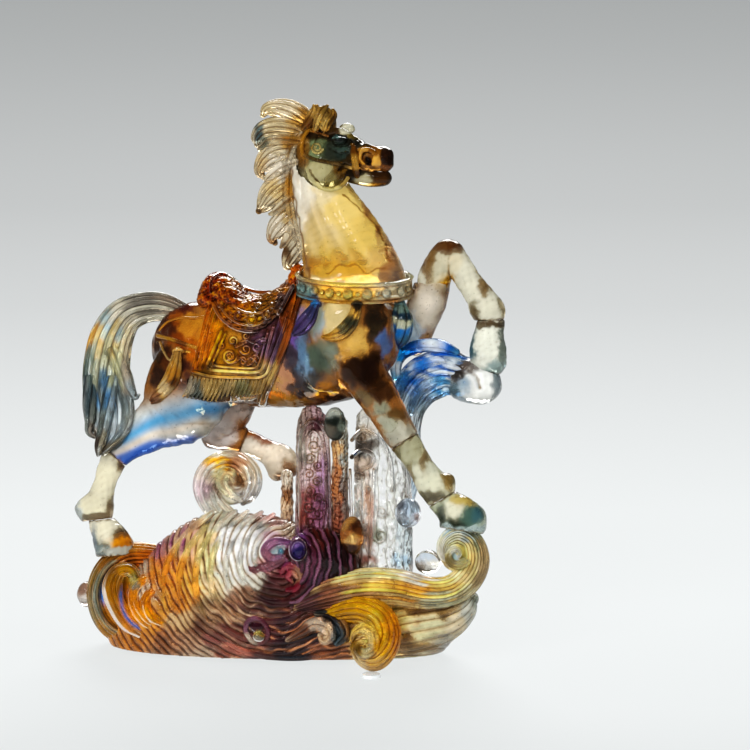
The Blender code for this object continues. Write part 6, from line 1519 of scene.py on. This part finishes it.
# a dark sheet behind the fringe strands: painted shade in the gaps between them
fringe_shade_sheet = cloth([(186, 378), (226, 381), (266, 379), (262, 396), (252, 401.5), (226, 403), (206, 402), (188, 397)], (176, 366, -92), (276, 412, 20), 1.0, 0.4, 1.9, body, False)
V, Q = fringe_shade_sheet.skin(2)
parts.append((V, Q, paint(V, ((34, 24, 12), 0.35), [(200, 400, 10, 5, (40, 34, 28), 0.4), (240, 401, 20, 4, (110, 84, 46), 0.6), (250, 388, 20, 6, (44, 32, 16), 0.4)], warp=1.5)))
bundle("fringe_glass", parts, "relief", ("fringe_near",))

GI = [(294, 308, 6, 12, (110, 60, 30), 0.62), (288, 330, 6, 12, (150, 84, 40), 0.64), (282, 350, 6, 12, (120, 70, 34), 0.62), (272, 372, 6, 12, (206, 170, 100), 0.72),
      (262, 392, 6, 10, (110, 84, 50), 0.62)]
parts = []
for k, off in enumerate((-2.2, 2.2)):
    path = [(298.5 + off, 299), (294 + off, 312), (289.5 + off, 328), (285 + off, 343), (279 + off, 358), (272 + off, 372), (266 + off, 385), (262 + off, 395), (261 + off, 401)]
    parts.append(wisp(lay(cord(path, 2.3, 2.2), body, -1.4), GI, ((130, 80, 40), 0.64), grooves=2, depth=0.08, seed=240 + k, ring=20, steps=2, vein_and_groove_shade=(40, 22, 12)))
gs = cloth([(296, 296), (303, 297), (292, 335), (281, 366), (268, 398), (266, 408), (257, 408), (260, 396), (272, 366), (285, 333)], (246, 284, -110), (312, 428, 20), 1.1, 0.4, 2.2,
           body, False)
V, Q = gs.skin(2)
parts.append((V, Q, paint(V, ((110, 66, 34), 0.62), GI, warp=1)))
bundle("girth_glass", parts, "body", ("girth",))

CR = [(165, 340, 8, 6, (206, 150, 60), 0.7), (180, 343, 8, 5, (110, 70, 34), 0.62), (196, 348, 8, 5, (216, 160, 70), 0.7)]
parts = [wisp(lay(cord([(158, 336), (170, 339), (182, 343), (194, 347), (205, 350)], 2.2), body, -1.0), CR, ((176, 120, 56), 0.66), grooves=3, depth=0.14, seed=245, ring=24, steps=2),
         wisp(lay(cord([(160, 330), (168, 322), (182, 318), (196, 318), (206, 316)], 1.5), body, -0.6), CR, ((206, 140, 60), 0.68), grooves=2, depth=0.1, seed=246, ring=18, steps=2),
         wisp(lay(cord([(160, 342), (164, 352), (170, 360), (176, 352), (190, 352)], 1.4), body, -0.6), CR, ((206, 170, 110), 0.7), grooves=2, depth=0.1, seed=247, ring=18, steps=2)]
bundle("crupper_strap", parts, "body", ())

# breast collar
n_t, prof = 240, []
for t in np.linspace(0, 1, 33)[:-1]:
    if t < 0.62:            # outer face from the top rim to the bottom rim
        y = -11 + 22 * (t / 0.62)
        o = 1.0 + 1.7 * math.exp(-((abs(y) - 8.6) / 1.5) ** 2) + 0.5 * math.exp(-((abs(y) - 5.2) / 0.9) ** 2) - 1.6 * max(abs(y) - 10, 0)
    else:                   # inner face back up
        y = 11 - 22 * ((t - 0.62) / 0.38)
        o = -2.6
    prof.append((o, y))
prof = np.array(prof)
th = np.linspace(0, 2 * math.pi, n_t, endpoint=False)
wobble = 0.35 * np.sin(th * 7 + 1) + 0.25 * np.sin(th * 13)


def hoop(theta, out=0.0, rise=0.0):
    u0 = 354 + (57 + out) * np.cos(theta)
    d0 = -43 + (45 + out) * np.sin(theta)
    v0 = 284.6 - 0.2126 * (d0 + 43) + 0.02 * (u0 - 354) + rise
    return u0, v0, d0


UU, VV, DD = [], [], []
for o, y in prof:
    a, b, c = hoop(th, o + wobble * (o > 0), y)
    UU.append(a)
    VV.append(b)
    DD.append(c)
V = np.stack([np.array(UU).T, np.array(VV).T, np.array(DD).T], -1).reshape(-1, 3)
m = len(prof)
i = np.arange(n_t)[:, None]
j = np.arange(m)[None, :]
Q = np.stack([i * m + j, i * m + (j + 1) % m, ((i + 1) % n_t) * m + (j + 1) % m, ((i + 1) % n_t) * m + j], -1).reshape(-1, 4)
COL = [(302, 290, 8, 10, (110, 140, 150), 0.7), (310, 300, 8, 5, (60, 110, 150), 0.66), (312, 280, 8, 5, (150, 130, 90), 0.7), (330, 292, 10, 10, (226, 186, 110), 0.74),
       (350, 292, 12, 10, (236, 196, 116), 0.76), (368, 293, 10, 10, (226, 200, 150), 0.78), (386, 290, 10, 10, (226, 222, 206), 0.85), (402, 286, 7, 14, (206, 206, 190), 0.85),
       (392, 302, 12, 4, (130, 96, 66), 0.66), (340, 304, 20, 3, (150, 110, 56), 0.66), (340, 278, 20, 3, (190, 140, 60), 0.7), (408, 296, 4, 12, (130, 120, 96), 0.7)]
C = paint(V, ((220, 190, 130), 0.75), COL, warp=1.5, seed=46)
yy = np.tile(prof[:, 1], n_t)
C = mix(C, (84, 52, 20), 0.62, 0.9 * np.exp(-((np.abs(yy) - 6.9) / 0.9) ** 2))
STUDS = ((300, 3.6), (304, 4.4), (315, 4.8), (330, 5.0), (348, 5.2), (367, 5.4), (386, 5.0), (400, 4.4), (407, 3.4), (339, 2.6), (357.5, 2.4), (322.5, 2.2), (377, 2.4))
for su, sr in STUDS:
    a = -math.acos(max(-1, min(1, (su - 354) / 57.5)))
    cu, cv, cdd = hoop(np.array([a]), 1.6, 0.0)
    far_off = np.linalg.norm(V - np.array([cu[0], cv[0], cdd[0]]), axis=1)
    C = mix(C, (60, 38, 16), 0.6, 0.85 * np.exp(-(np.maximum(far_off - sr, 0) / 1.2) ** 2))
parts = [(V, Q, C)]
for k, (su, sr) in enumerate(((300, 3.6), (304, 4.4), (315, 4.8), (330, 5.0), (348, 5.2), (367, 5.4), (386, 5.0), (400, 4.4), (407, 3.4), (339, 2.6), (357.5, 2.4), (322.5, 2.2), (377, 2.4))):
    a = -math.acos(max(-1, min(1, (su - 354) / 57.5)))
    cu, cv, cdd = hoop(np.array([a]), 1.6, 0.0)
    bb = Field((cu[0] - 7, cv[0] - 7, cdd[0] - 7), (cu[0] + 7, cv[0] + 7, cdd[0] + 7), 0.6)
    bb.ball((cu[0], cv[0], cdd[0]), (sr * (0.45 + 0.55 * abs(math.sin(a))), sr, sr * 0.75 + 0.5), k=0)
    Vb, Qb = bb.skin(1)
    # painted shade on the upper left of each stud
    painted_shade_side = np.exp(-((Vb[:, 0] - cu[0] + sr * 0.3) / (sr * 0.6)) ** 2 - ((Vb[:, 1] - cv[0] + sr * 0.5) / (sr * 0.5)) ** 2)
    Cb = paint(Vb, ((210, 180, 120), 0.72), COL, warp=0)
    parts.append((Vb, Qb, mix(Cb, (40, 34, 26), 0.55, 0.75 * painted_shade_side)))
bundle("breast_collar_glass", parts, "smooth", ("breast_collar",))

# tassels
TS = [(310, 304, 6, 5, (50, 110, 160), 0.66), (312, 312, 6, 5, (60, 60, 90), 0.6), (306, 322, 8, 7, (84, 72, 110), 0.6), (300, 330, 6, 5, (70, 56, 96), 0.58),
      (356, 306, 5, 4, (40, 36, 26), 0.55), (354, 313, 5, 4, (190, 150, 80), 0.7), (352, 322, 6, 5, (56, 60, 46), 0.56), (344, 331, 7, 4, (96, 96, 70), 0.62),
      (338, 336, 8, 4, (226, 176, 90), 0.74), (326, 337, 6, 3, (190, 140, 60), 0.7), (400, 308, 8, 4, (110, 130, 120), 0.66), (402, 316, 9, 3, (26, 46, 60), 0.55),
      (402, 322, 9, 3, (206, 206, 170), 0.72), (400, 332, 9, 5, (40, 110, 180), 0.66), (404, 338, 6, 4, (60, 100, 120), 0.64), (396, 344, 6, 4, (30, 60, 110), 0.6),
      (176, 356, 5, 5, (206, 160, 90), 0.7), (172, 372, 6, 6, (190, 134, 60), 0.66), (174, 382, 4, 5, (110, 70, 30), 0.6), (166, 388, 6, 5, (220, 190, 140), 0.7), (154, 399, 6, 4, (130, 90, 60), 0.64)]
for nm, slot, node, rows, base, mats in (
        ("tassel_near_glass", "purple", "tassel_near", [[(316, 303, -90, 4, 4), (313, 310, -92, 6, 6), (308, 319, -92, 8.5, 7.5), (301, 328, -90, 8, 7), (294, 334, -88, 3, 3)]],
         ((90, 80, 110), 0.6), 0),
        ("tassel_centre_glass", "gold", "tassel_centre", [[(357, 303, -93, 4, 4), (356, 309, -94, 5.5, 5), (354, 316, -96, 6.5, 6), (349, 325, -97, 8, 7), (341, 333, -97, 8, 7),
                                                           (331, 337, -96, 5, 5), (323, 337, -95, 2, 2)]], ((206, 160, 80), 0.7), 1),
        ("tassel_far_glass", "blue", "tassel_far", [[(400, 304, -62, 6, 6), (401, 311, -63, 9, 8), (402, 320, -65, 11.5, 10), (401, 331, -65, 11.5, 10), (398, 341, -64, 9, 8), (394, 348, -62, 3, 3)]],
         ((110, 150, 170), 0.68), 2),
        ("tassel_rear_glass", "gold", "tassel_rear", [[(178, 350, -12, 3.5, 3.5), (177, 358, -14, 5, 5), (175, 368, -16, 7.5, 6), (171, 381, -16, 9, 7), (163, 391, -14, 8, 7),
                                                       (156, 396, -11, 5, 5), (151, 400, -8, 2, 2)], [(170, 376, -16, 4, 4), (168, 388, -17, 5, 5), (160, 398, -12, 4, 4), (152, 403, -6, 1.5, 1.5)]],
         ((206, 164, 96), 0.68), 3)):
    parts = [wisp(r, TS, base, grooves=7, depth=0.2, twist=0.03, seed=250 + mats * 3 + q, ring=84, steps=7, vein_and_groove_shade=(40, 30, 30), dark=0.8) for q, r in enumerate(rows)]
    u0, v0, d0 = rows[0][0][:3]
    knot = [(u0 + 4.5 * math.cos(t), v0 + 1.5 + 2.0 * math.sin(t), d0 + 4.5 * math.sin(t), 1.8, 1.8) for t in np.linspace(0, 6.2, 14)]
    parts.append(wisp(knot, TS, base, grooves=2, depth=0.08, seed=270 + mats, ring=18, steps=2, vein_and_groove_shade=(40, 30, 30)))
    bundle(nm, parts, "hair", (node,))

# bridle
BR = [(305, 140, 6, 12, (170, 120, 50), 0.66), (320, 158, 12, 5, (70, 56, 30), 0.58), (340, 165, 8, 5, (110, 90, 56), 0.62), (358, 150, 5, 6, (190, 140, 60), 0.68),
      (356, 165, 5, 10, (206, 160, 90), 0.7), (316, 148, 7, 7, (190, 170, 110), 0.68)]
parts = [wisp(lay(cord([(316, 125), (308, 131), (303, 140), (302, 150), (305, 159)], 2.4), head, -0.6), BR, ((176, 130, 66), 0.66), grooves=2, depth=0.1, seed=280, ring=20, steps=2),
         wisp(lay(cord([(303, 154), (313, 159), (326, 162), (339, 164.5), (351, 168)], 2.2), head, -0.6), BR, ((120, 96, 56), 0.62), grooves=2, depth=0.1, seed=281, ring=20, steps=2),
         wisp(lay(cord([(308, 130), (318, 133), (328, 136)], 1.5), head, -0.5), BR, ((120, 80, 40), 0.62), grooves=2, depth=0.1, seed=282, ring=18, steps=2),
         wisp(lay([(r[0], r[1], r[3], r[4]) for r in scroll(317, 148, 0, 6.0, 1.6, 1.5, 1, 0.3)], head, -0.4), BR, ((190, 176, 120), 0.68), grooves=2, depth=0.08, seed=283, ring=18,
              steps=2)]
bundle("bridle_straps", parts, "smooth", ())
m_t = np.linspace(0, 2 * math.pi, 40, endpoint=False)
nose = [(355.0 + 2.0 * math.cos(t), 162 + 17.0 * math.cos(t), -39.5 + 15.4 * math.sin(t)) for t in m_t]
ctr, axis_n = np.array([355.0, 162, -39.5]), np.array([0.86, 0.10, -0.50])
prof_n = [(0.8 + 2.0 * math.cos(a) + 0.7 * math.cos(2 * a), 4.4 * math.sin(a)) for a in np.linspace(0, 2 * math.pi, 14, endpoint=False)]
V = []
for p in nose:
    p = np.array(p)
    o = unit(p - ctr)
    for a, b in prof_n:
        V.append(p + o * a + unit(axis_n) * b)
V = np.array(V) + 0
m = len(prof_n)
i = np.arange(40)[:, None]
j = np.arange(m)[None, :]
Q = np.stack([i * m + j, i * m + (j + 1) % m, ((i + 1) % 40) * m + (j + 1) % m, ((i + 1) % 40) * m + j], -1).reshape(-1, 4)
piece("noseband_glass", V, Q, paint(V, ((196, 146, 70), 0.68), [(356, 150, 5, 5, (120, 80, 36), 0.62), (356, 162, 5, 6, (216, 170, 100), 0.7), (356, 174, 5, 4, (90, 60, 30), 0.6)],
                                    warp=1), "smooth", ("noseband",))


# ---- feet ---------------------------------------------------------------------------------
rubber = bpy.data.materials.new("bumper_clear")
rubber.use_nodes = True
_p = rubber.node_tree.nodes["Principled BSDF"]
_n = rubber.node_tree.nodes.new("ShaderNodeTexNoise")
_n.inputs["Scale"].default_value = 900
_r = rubber.node_tree.nodes.new("ShaderNodeMapRange")
_r.inputs["To Min"].default_value = 0.12
_r.inputs["To Max"].default_value = 0.30
rubber.node_tree.links.new(_n.outputs["Fac"], _r.inputs["Value"])
rubber.node_tree.links.new(_r.outputs[0], _p.inputs["Roughness"])
_p.inputs["Base Color"].default_value = (0.86, 0.88, 0.88, 1)
_p.inputs["Transmission Weight"].default_value = 0.7
_p.inputs["IOR"].default_value = 1.45
for foot in ("bumper_left", "bumper_front", "bumper_back"):
    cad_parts[foot].data.materials.clear()
    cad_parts[foot].data.materials.append(rubber)

# ---- floor, light and camera ---------------------------------------------------------------
floor_mesh = bpy.data.meshes.new("studio_floor")
rim = [(3.2 * math.cos(a * math.pi / 48), 3.2 * math.sin(a * math.pi / 48), 0.0) for a in range(96)]
floor_mesh.from_pydata(rim, [], [tuple(range(96))])
floor = bpy.data.objects.new("studio_floor", floor_mesh)
bpy.context.scene.collection.objects.link(floor)
# the floor glows as a light table: its glow stands in for studio light, brightest under the horse and fading towards
# the front, the back and the sides
sheet = bpy.data.materials.new("pale_floor")
sheet.use_nodes = True
nt = sheet.node_tree
p = nt.nodes["Principled BSDF"]
pos = nt.nodes.new("ShaderNodeTexCoord")
split = nt.nodes.new("ShaderNodeSeparateXYZ")
nt.links.new(pos.outputs["Object"], split.inputs[0])
fade = nt.nodes.new("ShaderNodeValToRGB")
reach = nt.nodes.new("ShaderNodeMapRange")
reach.inputs["From Min"].default_value = -0.6
reach.inputs["From Max"].default_value = 2.4
nt.links.new(split.outputs["Y"], reach.inputs["Value"])
nt.links.new(reach.outputs[0], fade.inputs["Fac"])
r = fade.color_ramp
STOPS = [(-0.60, 0.26), (-0.30, 0.62), (-0.149, 0.72), (-0.088, 0.76), (0.064, 0.79), (0.24, 0.77), (0.454, 0.67), (0.71, 0.545), (1.02, 0.46), (1.33, 0.44),
         (1.90, 0.42), (2.40, 0.34)]
r.elements[0].position, r.elements[0].color = 0.0, (STOPS[0][1] * 0.97, STOPS[0][1], STOPS[0][1], 1)
r.elements[1].position, r.elements[1].color = 1.0, (STOPS[-1][1] * 0.96, STOPS[-1][1] * 1.01, STOPS[-1][1], 1)
for y, g in STOPS[1:-1]:
    e = r.elements.new((y + 0.6) / 3.0)
    e.color = (g * 0.975, g * 1.01, g * 1.01, 1)
wide = nt.nodes.new("ShaderNodeMath")
wide.operation = "ABSOLUTE"
nt.links.new(split.outputs["X"], wide.inputs[0])
side = nt.nodes.new("ShaderNodeMapRange")
side.inputs["From Min"].default_value = 0.36
side.inputs["From Max"].default_value = 0.90
side.inputs["To Min"].default_value = 1.0
side.inputs["To Max"].default_value = 0.16
nt.links.new(wide.outputs[0], side.inputs["Value"])
lit = nt.nodes.new("ShaderNodeVectorMath")
lit.operation = "SCALE"
nt.links.new(fade.outputs["Color"], lit.inputs[0])
nt.links.new(side.outputs[0], lit.inputs["Scale"])
nt.links.new(lit.outputs[0], p.inputs["Emission Color"])
p.inputs["Emission Strength"].default_value = 0.95
p.inputs["Base Color"].default_value = (0.05, 0.05, 0.05, 1)
p.inputs["Roughness"].default_value = 0.8
floor_mesh.materials.append(sheet)

world = bpy.data.worlds.new("studio")
bpy.context.scene.world = world
world.use_nodes = True
nt = world.node_tree
back = nt.nodes["Background"]
tc = nt.nodes.new("ShaderNodeTexCoord")
sep = nt.nodes.new("ShaderNodeSeparateXYZ")
nt.links.new(tc.outputs["Generated"], sep.inputs[0])
sky = nt.nodes.new("ShaderNodeValToRGB")
up = nt.nodes.new("ShaderNodeMapRange")
up.inputs["From Min"].default_value = -0.2
up.inputs["From Max"].default_value = 1.0
nt.links.new(sep.outputs["Z"], up.inputs["Value"])
nt.links.new(up.outputs[0], sky.inputs["Fac"])
r = sky.color_ramp
r.elements[0].position, r.elements[0].color = 0.0, (0.62, 0.64, 0.65, 1)
r.elements[1].position, r.elements[1].color = 1.0, (0.10, 0.10, 0.11, 1)
e = r.elements.new(0.25)
e.color = (0.55, 0.57, 0.58, 1)
e = r.elements.new(0.42)
e.color = (0.06, 0.055, 0.05, 1)
turn = nt.nodes.new("ShaderNodeMapRange")
turn.inputs["From Min"].default_value = 0.1
turn.inputs["From Max"].default_value = 0.8
turn.inputs["To Min"].default_value = 0.14
turn.inputs["To Max"].default_value = 1.0
nt.links.new(sep.outputs["Y"], turn.inputs["Value"])
dim = nt.nodes.new("ShaderNodeVectorMath")
dim.operation = "SCALE"
nt.links.new(sky.outputs["Color"], dim.inputs[0])
nt.links.new(turn.outputs[0], dim.inputs["Scale"])
nt.links.new(dim.outputs[0], back.inputs["Color"])
back.inputs["Strength"].default_value = 1.0


def softbox(name, spot, aim, size, watts, colour=(1, 1, 1), mirror=True):
    lamp = bpy.data.lights.new(name, "AREA")
    lamp.shape = "RECTANGLE"
    lamp.size, lamp.size_y = size
    lamp.energy = watts
    lamp.color = colour
    ob = bpy.data.objects.new(name, lamp)
    ob.location = spot
    ob.rotation_euler = (Vector(aim) - Vector(spot)).to_track_quat("-Z", "Y").to_euler()
    ob.visible_glossy = mirror
    bpy.context.scene.collection.objects.link(ob)


softbox("key_softbox", (-0.8, -1.5, 0.9), (0, 0, 0.1), (1.3, 1.2), 66, mirror=False)
softbox("spark_softbox", (-0.9, -1.3, 1.3), (0, 0, 0.1), (0.22, 0.30), 1.6)
softbox("side_softbox", (1.2, -0.5, 0.8), (0, 0, 0.1), (0.6, 0.9), 10, (0.93, 0.97, 1.0), mirror=False)
softbox("back_softbox", (0.1, 1.3, 1.0), (0, 0, 0.1), (1.2, 0.6), 24)

cam = bpy.data.cameras.new("camera")
cam.sensor_width = 36.0
cam.lens = 240.0
cam.clip_end = 20.0
camera = bpy.data.objects.new("camera", cam)
bpy.context.scene.collection.objects.link(camera)
aim = to_world([(375.0, 375.0, 0.0)])[0]
sight = Vector((0.0, CT, -ST))
camera.location = Vector(aim) - sight * (SIGHT * UNIT)
camera.rotation_euler = sight.to_track_quat("-Z", "Y").to_euler()
bpy.context.scene.camera = camera
print_look = bpy.context.scene.view_settings
print_look.view_transform = "Standard"
# the darker half of the print is deepened, the pale studio is left alone
print_look.use_curve_mapping = True
tone = print_look.curve_mapping.curves[3]
for level, printed in ((0.02, 0.008), (0.05, 0.025), (0.10, 0.066), (0.20, 0.168), (0.30, 0.286), (0.40, 0.40)):
    tone.points.new(level, printed)
for point in tone.points:
    point.handle_type = "VECTOR"
print_look.curve_mapping.update()

bpy.context.view_layer.update()
